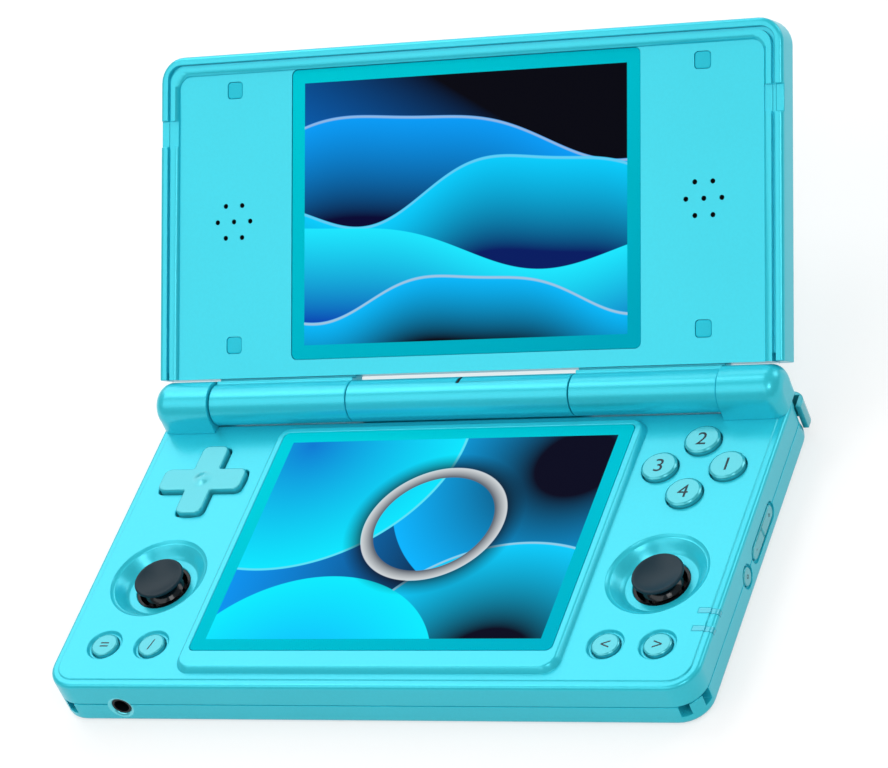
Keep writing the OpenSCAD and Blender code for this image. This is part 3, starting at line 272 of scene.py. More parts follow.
def moulding(name, nodes, body, slot, material, edge=0.10, soft_angle=34, clamp=False, reshape=None):
    """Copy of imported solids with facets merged, flats kept flat and sharp edges broken by `edge` millimetres."""
    form = bmesh.new()
    for node in nodes:
        form.from_mesh(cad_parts[node].data)
    if reshape:
        for vertex in form.verts:
            vertex.co = reshape(vertex.co / MM) * MM
    bmesh.ops.remove_doubles(form, verts=form.verts, dist=weld_gap * MM)
    bmesh.ops.dissolve_degenerate(form, edges=form.edges, dist=sliver * MM)
    bmesh.ops.dissolve_limit(form, angle_limit=math.radians(flat_angle), verts=form.verts, edges=form.edges)
    for face in form.faces:
        face.smooth = True
        face.material_index = 0
    piece = cast(form, name, material, soft_angle=soft_angle)
    broken = piece.modifiers.new("broken_edges", "BEVEL")
    broken.width = edge * MM
    broken.segments = 2
    broken.limit_method = "ANGLE"
    broken.angle_limit = math.radians(soft_angle)
    broken.use_clamp_overlap = clamp
    flatten_faces(piece)
    stand_for(piece, body, slot, *nodes)


pearl_cyan = pearl("pearl_cyan", (0.026, 0.66, 0.80), metallic=0.28, roughness=0.30, shine=0.42, coat=0.15)
moulding("lower_tray", ["lower_shell"], "base", "shell_cyan", pearl_cyan)


def past_edge(x, y, half_x, half_y, corner):
    """Distance outside a rounded rectangle, negative within it."""
    over_x, over_y = abs(x) - half_x + corner, abs(y) - half_y + corner
    return math.hypot(max(over_x, 0), max(over_y, 0)) + min(max(over_x, over_y), 0) - corner


deck_top = 12.0
stick_x, stick_y = 62.4, -12.3
bowl_in_r, bowl_out_r, bowl_depth = 9.2, 12.7, 3.2
flank_lean = 1.5
frame_centre_y = -3.45
frame_half = (46.1, 37.15)
frame_corner_r = 3.0
# A corner belongs to a ring if it lies this close to the ring's height and outline.
level_slack, outline_slack = 0.02, 0.06
# Height of a ring of corners, its distance outside the frame, and its new height.
frame_levels = ((13.28, 0.0, 13.6), (12.56, 0.48, 13.28), (12.56, 1.2, 12.35))


def deck_form(spot):
    """Turns the steps round the lower screen into one slope, and lays the bowls' flanks back."""
    across, along = abs(spot.x) - stick_x, spot.y - stick_y
    out = math.hypot(across, along)
    depth = deck_top - spot.z
    if bowl_in_r < out < bowl_out_r and -level_slack < depth < bowl_depth + level_slack:
        pull = 1 - flank_lean * depth / bowl_depth / out
        return Vector((math.copysign(stick_x + across * pull, spot.x), stick_y + along * pull, spot.z))
    gap = past_edge(spot.x, spot.y - frame_centre_y, *frame_half, frame_corner_r)
    for height, place, wanted in frame_levels:
        if abs(spot.z - height) < level_slack and abs(gap - place) < outline_slack:
            return Vector((spot.x, spot.y, wanted))
    return spot


moulding("top_deck", ["upper_shell"], "base", "shell_cyan", pearl_cyan, edge=0.18, soft_angle=48,
         reshape=deck_form)

# ---- Hinge ----
# A middle barrel on the base's low rear wall, between the lid's barrels,
# and an end knuckle at each side, clipped to the deck over a steel pin.
# A flat cable runs rolled up through the left bush to the lid's screen.
moulding("middle_barrel", ["hinge_cover"], "base", "shell_cyan", pearl_cyan)
moulding("end_knuckles", ["hinge_ends"], "base", "shell_cyan", pearl_cyan, edge=0.14)


def drawn_group():
    """Fine lines along one direction, as in rolled or brushed metal: shade, roughness and height."""
    group = bpy.data.node_groups.new("drawn_lines", "ShaderNodeTree")
    for name, kind in (("Colour", "Color"), ("Stretch", "Vector"), ("Contrast", "Float"), ("Roughness", "Float")):
        group.interface.new_socket(name, in_out="INPUT", socket_type="NodeSocket" + kind)
    for name, kind in (("Colour", "Color"), ("Roughness", "Float"), ("Height", "Float")):
        group.interface.new_socket(name, in_out="OUTPUT", socket_type="NodeSocket" + kind)
    inlet = add(group, "NodeGroupInput")
    outlet = add(group, "NodeGroupOutput")
    spot = add(group, "ShaderNodeTexCoord").outputs["Object"]
    drawn = feed(group, add(group, "ShaderNodeMapping"), Vector=spot, Scale=inlet.outputs["Stretch"])
    lines = feed(group, add(group, "ShaderNodeTexNoise"), Vector=drawn.outputs[0], Scale=1000.0, Detail=3.0)
    shade = level(group, lines.outputs["Fac"], 0.3, 0.7, sums(group, "SUBTRACT", 1.0, inlet.outputs["Contrast"]),
                  sums(group, "ADD", 1.0, inlet.outputs["Contrast"]))
    tint = feed(group, add(group, "ShaderNodeVectorMath", operation="SCALE"), i0=inlet.outputs["Colour"],
                Scale=shade)
    rough = sums(group, "ADD", inlet.outputs["Roughness"], level(group, lines.outputs["Fac"], 0.3, 0.7, -0.06, 0.06))
    group.links.new(tint.outputs[0], outlet.inputs["Colour"])
    group.links.new(rough, outlet.inputs["Roughness"])
    group.links.new(lines.outputs["Fac"], outlet.inputs["Height"])
    return group


drawn_lines = drawn_group()


def metal(name, colour, stretch=(0.1, 1, 1), contrast=0.08, roughness=0.32, metallic=1.0, bump=0.1):
    """Rolled, drawn or brushed sheet or wire."""
    material, tree, shader = new_material(name)
    lines = add(tree, "ShaderNodeGroup")
    lines.node_tree = drawn_lines
    feed(tree, lines, Colour=(*colour, 1), Stretch=stretch, Contrast=contrast, Roughness=roughness)
    relief = feed(tree, add(tree, "ShaderNodeBump"), Strength=bump, Distance=0.00003, Height=lines.outputs["Height"])
    feed(tree, shader, Base_Color=lines.outputs["Colour"], Roughness=lines.outputs["Roughness"],
         Normal=relief.outputs["Normal"], Metallic=metallic)
    return material


def dress(material, *nodes):
    """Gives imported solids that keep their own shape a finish."""
    for node in nodes:
        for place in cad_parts[node].material_slots:
            place.material = material


turned_steel = metal("turned_steel", (0.56, 0.58, 0.60), stretch=(0.2, 1.5, 1.5))
ribbon_film = metal("ribbon_film", (0.42, 0.20, 0.03), stretch=(0.02, 2, 2), contrast=0.35, metallic=0.0)
dress(turned_steel, "hinge_pins", "hinge_bushes")
dress(ribbon_film, "hinge_flex_cable")

# ---- Lid shells ----
# A shallow back moulding with the two outer barrels, and an inner panel
# sunk in its rim, held by four screws under square plugs.
hinge_axis = Vector((0, 40.0, 16.0)) * MM
lid_turn = math.radians(42)
lid_place = Matrix.Translation(hinge_axis) @ Matrix.Rotation(lid_turn, 4, "X")
panel_half_w, panel_top_u = 76.0, 79.5
panel_corner_r = 3.0
panel_step, panel_step_z = 0.8, 1.25
panel_border_z, panel_foot_z = 1.8, 0.9
# The panel's outline is followed far below its lower edge, which has no step.
outline_drop = 50


def panel_roll(spot):
    """Turns the step inside the panel's raised border into a slope."""
    local = lid_place.inverted() @ (spot * MM) / MM
    if abs(local.z - panel_step_z) < level_slack:
        for inset, wanted in ((0, panel_border_z), (panel_step, panel_foot_z)):
            gap = past_edge(local.x, local.y + outline_drop, panel_half_w - inset,
                            panel_top_u + outline_drop - inset, panel_corner_r)
            if abs(gap) < outline_slack:
                local.z = wanted
    return lid_place @ (local * MM) / MM


moulding("lid_back", ["lid_shell"], "lid", "shell_cyan", pearl_cyan, edge=0.20)
moulding("lid_front", ["lid_panel_frame"], "lid", "shell_cyan", pearl_cyan, edge=0.20, soft_angle=48, clamp=True,
         reshape=panel_roll)


def groove_seat(name, half_out, half_in, low, top_out, top_in, corner, z_low, z_high):
    """Strip lying in the groove round the inner panel: up one side, across the top and down the other."""
    form = bmesh.new()
    rows = []
    for half, top in ((half_out, top_out), (half_in, top_in)):
        path = [(-half, low)]
        for sign in (-1, 1):
            for step in range(9):
                angle = math.radians(90 * step / 8 if sign < 0 else 90 - 90 * step / 8)
                path.append((sign * (half - corner + corner * math.cos(angle)),
                             top - corner + corner * math.sin(angle)))
        path.append((half, low))
        rows.append(path)
    loops = [[form.verts.new((x * MM, y * MM, z * MM)) for x, y in row]
             for row, z in ((rows[0], z_low), (rows[0], z_high), (rows[1], z_high), (rows[1], z_low))]
    for first, second in zip(loops, loops[1:] + loops[:1]):
        for step in range(len(first) - 1):
            form.faces.new((first[step], first[step + 1], second[step + 1], second[step]))
    for end in (0, -1):
        form.faces.new([loop[end] for loop in loops])
    bmesh.ops.recalc_face_normals(form, faces=form.faces)
    return cast(form, name, pearl_cyan)


seat = groove_seat("lid_groove_seat", half_out=77.97, half_in=77.23, low=8.0, top_out=81.47, top_in=80.73,
                   corner=3.5, z_low=0.2, z_high=0.72)
seat.data.transform(lid_place)
stand_for(seat, "lid", "shell_cyan")

# ---- Cover glasses ----
# Two equal panes of glass with a teal border printed on the back, glued
# over the displays. Each display shows a made-up wallpaper of blue light.
window_half = (41.5, 31.0)
glass_centre_y = -1.9
upper_glass_u = 44.4


def window_group():
    """The clear window of a cover glass: a mask with a hard edge, and the border's slow change of tone."""
    group = bpy.data.node_groups.new("glass_window", "ShaderNodeTree")
    for name, kind in (("Place", "Vector"), ("Half width", "Float"), ("Half height", "Float")):
        group.interface.new_socket(name, in_out="INPUT", socket_type="NodeSocket" + kind)
    for name in ("Mask", "Tone"):
        group.interface.new_socket(name, in_out="OUTPUT", socket_type="NodeSocketFloat")
    inlet = add(group, "NodeGroupInput")
    outlet = add(group, "NodeGroupOutput")
    apart = feed(group, add(group, "ShaderNodeSeparateXYZ"), Vector=inlet.outputs["Place"])
    past_x = sums(group, "SUBTRACT", sums(group, "ABSOLUTE", apart.outputs["X"]), inlet.outputs["Half width"])
    past_y = sums(group, "SUBTRACT", sums(group, "ABSOLUTE", apart.outputs["Y"]), inlet.outputs["Half height"])
    past = sums(group, "MAXIMUM", past_x, past_y)
    group.links.new(level(group, past, 0.06, -0.06), outlet.inputs["Mask"])
    slope = sums(group, "SUBTRACT", sums(group, "MULTIPLY", apart.outputs["Y"], 0.012),
                 sums(group, "MULTIPLY", apart.outputs["X"], 0.006))
    group.links.new(level(group, slope, -0.6, 0.6), outlet.inputs["Tone"])
    return group


def ridge_group():
    """How far a point lies below a rolling line."""
    group = bpy.data.node_groups.new("rolling_ridge", "ShaderNodeTree")
    group.interface.new_socket("Place", in_out="INPUT", socket_type="NodeSocketVector")
    for name in ("Base", "Swing", "Wave", "Phase"):
        group.interface.new_socket(name, in_out="INPUT", socket_type="NodeSocketFloat")
    group.interface.new_socket("Depth", in_out="OUTPUT", socket_type="NodeSocketFloat")
    inlet = add(group, "NodeGroupInput")
    outlet = add(group, "NodeGroupOutput")
    apart = feed(group, add(group, "ShaderNodeSeparateXYZ"), Vector=inlet.outputs["Place"])
    turn = sums(group, "ADD", sums(group, "MULTIPLY", apart.outputs["X"], inlet.outputs["Wave"]),
                inlet.outputs["Phase"])
    long_roll = sums(group, "MULTIPLY", sums(group, "SINE", turn), inlet.outputs["Swing"])
    short_turn = sums(group, "ADD", sums(group, "MULTIPLY", turn, 2.3), 0.7)
    short_roll = sums(group, "MULTIPLY", sums(group, "SINE", short_turn), inlet.outputs["Swing"])
    short_roll = sums(group, "MULTIPLY", short_roll, 0.24)
    crest = sums(group, "ADD", sums(group, "ADD", long_roll, short_roll), inlet.outputs["Base"])
    group.links.new(sums(group, "SUBTRACT", crest, apart.outputs["Y"]), outlet.inputs["Depth"])
    return group


def disc_group():
    """How far a point lies inside a circle."""
    group = bpy.data.node_groups.new("round_disc", "ShaderNodeTree")
    for name in ("Place", "Centre"):
        group.interface.new_socket(name, in_out="INPUT", socket_type="NodeSocketVector")
    group.interface.new_socket("Radius", in_out="INPUT", socket_type="NodeSocketFloat")
    group.interface.new_socket("Depth", in_out="OUTPUT", socket_type="NodeSocketFloat")
    inlet = add(group, "NodeGroupInput")
    outlet = add(group, "NodeGroupOutput")
    away = feed(group, add(group, "ShaderNodeVectorMath", operation="SUBTRACT"), i0=inlet.outputs["Place"],
                i1=inlet.outputs["Centre"])
    flat = feed(group, add(group, "ShaderNodeVectorMath", operation="MULTIPLY"), i0=away.outputs[0], i1=(1, 1, 0))
    far = feed(group, add(group, "ShaderNodeVectorMath", operation="LENGTH"), i0=flat.outputs[0]).outputs["Value"]
    group.links.new(sums(group, "SUBTRACT", inlet.outputs["Radius"], far), outlet.inputs["Depth"])
    return group


def lit_edge_group():
    """A form of light from its depth: what it covers, its fade from the edge inwards, and a thin bright edge."""
    group = bpy.data.node_groups.new("lit_edge", "ShaderNodeTree")
    for name in ("Depth", "Fade"):
        group.interface.new_socket(name, in_out="INPUT", socket_type="NodeSocketFloat")
    for name in ("Cover", "Shade", "Edge"):
        group.interface.new_socket(name, in_out="OUTPUT", socket_type="NodeSocketFloat")
    inlet = add(group, "NodeGroupInput")
    outlet = add(group, "NodeGroupOutput")
    depth = inlet.outputs["Depth"]
    group.links.new(level(group, depth, -0.1, 0.1), outlet.inputs["Cover"])
    group.links.new(level(group, depth, 0.0, inlet.outputs["Fade"]), outlet.inputs["Shade"])
    off_edge = sums(group, "ABSOLUTE", sums(group, "SUBTRACT", depth, 0.35))
    group.links.new(level(group, off_edge, 0.42, 0.12), outlet.inputs["Edge"])
    return group


def on_glass(tree, turn, origin):
    """Millimetres on a pane's own plane, measured from its centre."""
    mapping = add(tree, "ShaderNodeMapping")
    spot = add(tree, "ShaderNodeTexCoord").outputs["Object"]
    feed(tree, mapping, Vector=spot, Location=origin, Rotation=(turn, 0, 0), Scale=(1000, 1000, 1000))
    return mapping.outputs[0]


glass_window = window_group()
rolling_ridge = ridge_group()
round_disc = disc_group()
lit_edge = lit_edge_group()
edge_white = (0.52, 0.60, 0.64, 1)


def pane(name, turn, origin, wallpaper):
    """Cover glass: a printed border round a clear window with a lit picture behind it."""
    material, tree, shader = new_material(name)
    place = on_glass(tree, turn, origin)
    window = add(tree, "ShaderNodeGroup")
    window.node_tree = glass_window
    feed(tree, window, Place=place, Half_width=window_half[0], Half_height=window_half[1])
    border = blend(tree, window.outputs["Tone"], (0.0, 0.46, 0.61, 1), (0.0, 0.69, 0.79, 1))
    picture = wallpaper(tree, place)
    feed(tree, shader, Roughness=0.07, Specular_IOR_Level=0.004, Emission_Strength=1.0,
         Base_Color=blend(tree, window.outputs["Mask"], border, (0.004, 0.004, 0.006, 1)),
         Emission_Color=blend(tree, window.outputs["Mask"], (0, 0, 0, 1), picture))
    return material


def lay_form(tree, picture, depth, fade, edge_colour, deep_colour, shine):
    """Lays one lit form over a picture."""
    form = add(tree, "ShaderNodeGroup")
    form.node_tree = lit_edge
    feed(tree, form, Depth=depth, Fade=fade)
    body = blend(tree, form.outputs["Shade"], edge_colour, deep_colour)
    picture = blend(tree, form.outputs["Cover"], picture, body)
    return blend(tree, sums(tree, "MULTIPLY", form.outputs["Edge"], shine), picture, edge_white)


def ridges_of_light(tree, place):
    """Four rolling ridges, lit at the crest and fading to black below, under a dark sky."""
    apart = feed(tree, add(tree, "ShaderNodeSeparateXYZ"), Vector=place)
    leaning = sums(tree, "ADD", apart.outputs["Y"], sums(tree, "MULTIPLY", apart.outputs["X"], 0.6))
    dusk = level(tree, leaning, -22, 26)
    picture = blend(tree, dusk, (0.0, 0.16, 0.62, 1), (0.0, 0.0, 0.002, 1))
    # Crest's height, swing, wave, phase, fade's reach, colours at the crest and below, and the crest's shine.
    ridges = (
        (17.0, 6.5, 0.052, 2.5, 24.0, (0.0, 0.34, 0.95, 1), (0.0, 0.0, 0.03, 1), 0.55),
        (5.0, 7.5, 0.061, 0.4, 22.0, (0.0, 0.62, 1.0, 1), (0.0, 0.01, 0.12, 1), 0.25),
        (-8.0, 6.0, 0.048, 3.6, 22.0, (0.01, 0.80, 1.0, 1), (0.0, 0.06, 0.45, 1), 0.0),
        (-20.0, 5.0, 0.071, 1.5, 15.0, (0.0, 0.50, 1.0, 1), (0.0, 0.0, 0.004, 1), 0.7))
    for base, swing, wave, phase, fade, edge_colour, deep_colour, shine in ridges:
        ridge = add(tree, "ShaderNodeGroup")
        ridge.node_tree = rolling_ridge
        feed(tree, ridge, Place=place, Base=base, Swing=swing, Wave=wave, Phase=phase)
        picture = lay_form(tree, picture, ridge.outputs["Depth"], fade, edge_colour, deep_colour, shine)
    return picture


def discs_of_light(tree, place):
    """Overlapping discs, lit at the edge and fading to black inside, with one pale ring across them."""
    apart = feed(tree, add(tree, "ShaderNodeSeparateXYZ"), Vector=place)
    picture = blend(tree, level(tree, apart.outputs["X"], -44, 10), (0.0, 0.30, 0.90, 1), (0.0, 0.0, 0.004, 1))
    # Centre, radius, fade's reach, colours at the edge and inside, and the edge's shine.
    discs = (
        ((34, 22, 0), 44.0, 34.0, (0.0, 0.46, 1.0, 1), (0.0, 0.0, 0.01, 1), 0.0),
        ((-36, 30, 0), 40.0, 46.0, (0.0, 0.80, 1.0, 1), (0.0, 0.10, 0.60, 1), 0.25),
        ((30, -40, 0), 38.0, 26.0, (0.0, 0.62, 1.0, 1), (0.0, 0.0, 0.01, 1), 0.6),
        ((-16, -46, 0), 34.0, 40.0, (0.0, 0.84, 1.0, 1), (0.0, 0.30, 0.95, 1), 0.0))
    for centre, radius, fade, edge_colour, deep_colour, shine in discs:
        disc = add(tree, "ShaderNodeGroup")
        disc.node_tree = round_disc
        feed(tree, disc, Place=place, Centre=centre, Radius=radius)
        picture = lay_form(tree, picture, disc.outputs["Depth"], fade, edge_colour, deep_colour, shine)
    ring = add(tree, "ShaderNodeGroup")
    ring.node_tree = round_disc
    feed(tree, ring, Place=place, Centre=(4, 4, 0), Radius=17.5)
    across = ring.outputs["Depth"]
    band = sums(tree, "MULTIPLY", level(tree, across, -0.1, 0.1), level(tree, across, 3.1, 2.9))
    tone = blend(tree, level(tree, across, 0.2, 2.8), (0.62, 0.66, 0.68, 1), (0.12, 0.14, 0.17, 1))
    shadow = sums(tree, "MULTIPLY", level(tree, across, -4.5, 0.0), level(tree, across, 0.0, -0.1))
    picture = blend(tree, sums(tree, "MULTIPLY", shadow, 0.85), picture, (0.0, 0.0, 0.004, 1))
    return blend(tree, band, picture, tone)


turned_axis = Matrix.Rotation(-lid_turn, 3, "X") @ (hinge_axis / MM)
lower_pane = pane("lower_pane", 0, (0, -glass_centre_y, 0), discs_of_light)
upper_pane = pane("upper_pane", -lid_turn, (0, -turned_axis.y - upper_glass_u, -turned_axis.z), ridges_of_light)
moulding("lower_cover_glass", ["lower_glass"], "base", "glass_border", lower_pane, edge=0.12)
moulding("upper_cover_glass", ["upper_glass"], "lid", "glass_border", upper_pane, edge=0.12)
display_back = metal("display_back", (0.60, 0.61, 0.62), stretch=(1, 0.05, 1), roughness=0.38)
dress(display_back, "lower_display", "upper_display")

# ---- Keys on the deck ----
# A rocking cross and round keys in a slightly greyer cyan, each moulded
# with a flange that the deck holds down, and a printed mark on the caps.
key_cyan = pearl("key_cyan", (0.045, 0.55, 0.64), metallic=0.26, roughness=0.20, coat=0.35)
mark_ink = pearl("mark_ink", (0.004, 0.030, 0.042), roughness=0.5, coat=0.0, drift=0.05)
key_top_z = 13.2
small_top_z = 12.1
pad_centre = Vector((-62.1, 18.2, 0))
pad_half = 10.94
arm_half = 3.45


def cross_ring(form, inset, height, grown=0.0):
    """Outline of a cross with rounded corners at one height."""
    half, arm = pad_half + grown - inset, arm_half + grown - inset
    outer_r, inner_r = 1.80 + grown - inset, 0.5 - min(grown, 0.3) + inset
    ring = []
    for quarter in range(4):
        turn = Matrix.Rotation(math.radians(90 * quarter), 3, "Z")
        spots = []
        for step in range(7):
            angle = math.radians(15 * step)
            spots.append((half - outer_r + outer_r * math.cos(angle), arm - outer_r + outer_r * math.sin(angle)))
        for step in range(5):
            angle = math.radians(270 - 22.5 * step)
            spots.append((arm + inner_r + inner_r * math.cos(angle), arm + inner_r + inner_r * math.sin(angle)))
        for step in range(7):
            angle = math.radians(15 * step)
            spots.append((arm - outer_r + outer_r * math.cos(angle), half - outer_r + outer_r * math.sin(angle)))
        for x, y in spots:
            ring.append(form.verts.new((turn @ Vector((x, y, height)) + pad_centre) * MM))
    return ring


def close_rings(form, rings):
    """Closed skin over a stack of equal rings."""
    for below, above in zip(rings, rings[1:]):
        for step in range(len(below)):
            after = (step + 1) % len(below)
            form.faces.new((below[step], below[after], above[after], above[step]))
    form.faces.new(list(reversed(rings[0])))
    form.faces.new(rings[-1])


form = bmesh.new()
flange_low, flange_high, flange_out = 9.0, 9.35, 1.0
key_foot_z = 9.3
# Inset and height, from the top, of each step of the rounded upper edge.
edge_roll = [(0.0, -0.42), (0.04, -0.25), (0.13, -0.11), (0.26, -0.03), (0.42, 0.0)]
close_rings(form, [cross_ring(form, 0, key_foot_z)]
            + [cross_ring(form, inset, key_top_z + height) for inset, height in edge_roll])
close_rings(form, [cross_ring(form, 0, height, flange_out) for height in (flange_low, flange_high)])
bump_r, bump_rise, bump_steps, bump_sides = 3.0, 0.38, 12, 48
rings = []
for step in range(bump_steps):
    r = bump_r * (1 - step / bump_steps)
    lift = bump_rise / 2 * (1 + math.cos(math.pi * r / bump_r)) - 0.01
    around = [2 * math.pi * side / bump_sides for side in range(bump_sides)]
    rings.append([form.verts.new((pad_centre + Vector((r * math.cos(a), r * math.sin(a), key_top_z + lift))) * MM)
                  for a in around])
close_rings(form, rings)
for face in form.faces:
    face.smooth = True
bmesh.ops.recalc_face_normals(form, faces=form.faces)
pad = cast(form, "cross_key", key_cyan, soft_angle=50)
flatten_faces(pad)
stand_for(pad, "direction_pad", "shell_cyan", "direction_pad")


# A print is this thick on each side of its own plane, and its plane lies as far above the key.
print_lift = 0.012
# Size of the letters' body for a height of one.
letter_body = 1.36


def printed_mark(name, sign, height, matrix, body):
    """A printed sign, flat on the piece that it marks."""
    script = bpy.data.curves.new(name, "FONT")
    script.body = sign
    script.size = height * letter_body * MM
    script.align_x = "CENTER"
    script.align_y = "CENTER"
    script.extrude = print_lift * MM
    writing = bpy.data.objects.new(name + "_curve", script)
    bpy.context.scene.collection.objects.link(writing)
    mesh = evaluated_mesh(writing)
    bpy.data.objects.remove(writing)
    low = Vector([min(v.co[i] for v in mesh.vertices) for i in range(3)])
    high = Vector([max(v.co[i] for v in mesh.vertices) for i in range(3)])
    middle = (low + high) / 2
    mesh.transform(matrix @ Matrix.Translation((-middle.x, -middle.y, 0)))
    mesh.materials.clear()
    mesh.materials.append(mark_ink)
    piece = bpy.data.objects.new(name, mesh)
    bpy.context.scene.collection.objects.link(piece)
    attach(piece, body)


face_centre = (62.1, 19.6)
face_ring = 8.15
face_mark_h, small_mark_h, side_mark_h = 4.0, 3.2, 1.5
face_keys = (("top", 90, "2"), ("left", 180, "3"), ("right", 0, "1"), ("bottom", 270, "4"))
for place, angle, sign in face_keys:
    node = "face_button_" + place
    moulding(place + "_key", [node], node, "shell_cyan", key_cyan, edge=0.12)
    x = face_centre[0] + face_ring * math.cos(math.radians(angle))
    y = face_centre[1] + face_ring * math.sin(math.radians(angle))
    spot = Vector((x, y, key_top_z + print_lift)) * MM
    printed_mark("number_" + sign, sign, face_mark_h, Matrix.Translation(spot), node)
small_y = -33.1
small_keys = ((-68.4, "="), (-56.2, "/"), (56.2, "<"), (68.4, ">"))
for index, (x, sign) in enumerate(small_keys, 1):
    node = "small_button_%d" % index
    moulding("round_key_%d" % index, [node], node, "shell_cyan", key_cyan, edge=0.12)
    spot = Vector((x, small_y, small_top_z + print_lift)) * MM
    printed_mark("sign_%d" % index, sign, small_mark_h, Matrix.Translation(spot), node)
key_rubber = pearl("key_rubber", (0.62, 0.66, 0.67), roughness=0.55, coat=0.0, drift=0.06, flake=900, bump=0.2)
black_post = pearl("black_post", (0.012, 0.013, 0.015), roughness=0.45, coat=0.0, drift=0.05)
dress(key_rubber, "button_membranes")
dress(black_post, "pad_pivot")

# ---- Sticks ----
# Each is one turned piece: a dished rubber cap over a polished dome, on a
# rocker in a gimbal, in a black housing whose collar rings the bowl's hole.


def lathe(name, profile, place, *materials, segments=96, second_from=None):
    """Solid of revolution from (radius, height) pairs in millimetres; faces from a given step take a second slot."""
    form = bmesh.new()
    rings = []
    for radius, height in profile:
        if radius < 1e-6:
            rings.append([form.verts.new((place[0] * MM, place[1] * MM, (place[2] + height) * MM))])
            continue
        ring = []
        for step in range(segments):
            angle = 2 * math.pi * step / segments
            ring.append(form.verts.new(((place[0] + radius * math.cos(angle)) * MM,
                                        (place[1] + radius * math.sin(angle)) * MM, (place[2] + height) * MM)))
        rings.append(ring)
    pairs = list(zip(rings, rings[1:]))
    if len(rings[0]) > 1:
        pairs.append((rings[-1], rings[0]))
    for index, (below, above) in enumerate(pairs):
        for step in range(segments):
            after = (step + 1) % segments
            if len(below) == 1:
                corners = (below[0], above[step], above[after])
            elif len(above) == 1:
                corners = (below[step], below[after], above[0])
            else:
                corners = (below[step], below[after], above[after], above[step])
            face = form.faces.new(corners)
            face.smooth = True
            face.material_index = 1 if second_from is not None and index >= second_from else 0
    bmesh.ops.recalc_face_normals(form, faces=form.faces)
    return cast(form, name, *materials, soft_angle=40)


pivot_z = 4.2
cap_r = 6.0
cap_top = 8.0
dome_r, dome_in_r = 6.4, 5.8
polished_black = pearl("polished_black", (0.004, 0.010, 0.014), roughness=0.14, shine=0.25, coat=0.15, bump=0.0,
                       drift=0.03)
grip_rubber = pearl("grip_rubber", (0.012, 0.032, 0.046), roughness=0.34, shine=0.14, coat=0.0, drift=0.10,
                    flake=1800, bump=0.04)
socket_black = pearl("socket_black", (0.004, 0.006, 0.008), roughness=0.25, shine=0.2, coat=0.05, bump=0.02,
                     drift=0.05)
blackened_steel = metal("blackened_steel", (0.03, 0.03, 0.033), stretch=(1, 1, 0.2), roughness=0.4)
stem = [(0, -1.2), (1.5, -1.2), (1.5, 5.5)]
dome_under = [(dome_in_r * math.sin(math.radians(a)), dome_in_r * math.cos(math.radians(a)))
              for a in range(18, 51, 4)]
dome_over = [(dome_r * math.sin(math.radians(a)), dome_r * math.cos(math.radians(a))) for a in range(50, 25, -3)]
waist = [(2.72, 5.95), (2.78, 6.25), (3.15, 6.5), (4.3, 6.85), (5.2, 7.08)]
rim = [(cap_r - 0.45 + 0.45 * math.cos(math.radians(a)), 7.52 + 0.42 * math.sin(math.radians(a)))
       for a in range(-60, 91, 15)]
dish_top, dish_deep, dish_r = cap_top - 0.06, 0.8, 5.5
dish = [(r, dish_top - dish_deep * (1 - (r / dish_r) ** 2)) for r in (5.3, 4.9, 4.3, 3.6, 2.8, 1.9, 1.0, 0)]
body_profile = stem + dome_under + dome_over + waist
for side, x in (("left", -stick_x), ("right", stick_x)):
    stick = lathe(side + "_stick", body_profile + rim + dish, (x, stick_y, pivot_z), polished_black, grip_rubber,
                  second_from=len(body_profile) - 1)
    stand_for(stick, "stick_%s_cap" % side, "stick_charcoal", "stick_%s_cap" % side)
    dress(socket_black, "stick_%s_housing" % side)
    dress(blackened_steel, "stick_%s_gimbal" % side)
    dress(black_post, "stick_%s_rocker" % side)

# ---- Side and shoulder keys ----
# A volume rocker and a round power key in the right wall, and two keys at
# each rear corner, the outer one wrapping round it.
wall_x = 80.0
side_z = 5.0
rocker_y, rocker_sign_y = 6.3, 5.2
power_y = -7.0
moulding("volume_key", ["volume_rocker"], "volume_rocker", "shell_cyan", key_cyan, edge=0.22)
moulding("power_key", ["power_button"], "power_button", "shell_cyan", key_cyan, edge=0.22)
facing_right = Matrix(((0, 0, 1, 0), (1, 0, 0, 0), (0, 1, 0, 0), (0, 0, 0, 1)))
side_marks = (("louder", "+", rocker_y + rocker_sign_y, "volume_rocker"),
              ("quieter", "-", rocker_y - rocker_sign_y, "volume_rocker"),
              ("power_sign", "o", power_y, "power_button"))
for name, sign, y, body in side_marks:
    spot = Matrix.Translation(Vector((wall_x + print_lift, y, side_z)) * MM)
    printed_mark(name, sign, side_mark_h, spot @ facing_right, body)
for side in ("left", "right"):
    for row in ("outer", "inner"):
        node = "shoulder_%s_%s" % (side, row)
        moulding("%s_%s_shoulder_key" % (side, row), [node], node, "shell_cyan", key_cyan, edge=0.16)
dress(turned_steel, "side_switches", "shoulder_switches", "microphone", "lid_magnet")

# ---- Jack, ports and status lights ----
# A black headphone jack in a dished ring painted paler than the shell as a highlight, a steel charging port and card
# slot at the back, and two light guides let into the right edge.
jack_x = -62.4
jack_z = 4.5
front_y = -45.5
# The ring skins the shell's own cone round the jack in a paler, glossier cyan: the paler colour is a painted
# highlight.
ring_lacquer_and_highlight = pearl("ring_lacquer_and_highlight", (0.12, 0.72, 0.82), metallic=0.6, roughness=0.16, coat=0.6)
jack_ring = lathe("jack_ring", [(2.34, -0.47), (3.12, -0.06), (3.16, -0.012), (3.0, -0.012), (2.40, -0.34)],
                  (0, 0, 0), ring_lacquer_and_highlight, segments=64)
facing_front = Matrix(((1, 0, 0, jack_x * MM), (0, 0, -1, front_y * MM), (0, 1, 0, jack_z * MM), (0, 0, 0, 1)))
jack_ring.data.transform(facing_front)
stand_for(jack_ring, "base", "shell_cyan")
dress(socket_black, "headphone_jack")
dress(turned_steel, "charging_port", "card_slot")
light_guide = pearl("light_guide", (0.015, 0.54, 0.68), roughness=0.20, coat=0.5, drift=0.05, metallic=0.15)
dress(light_guide, "status_light_pipes")
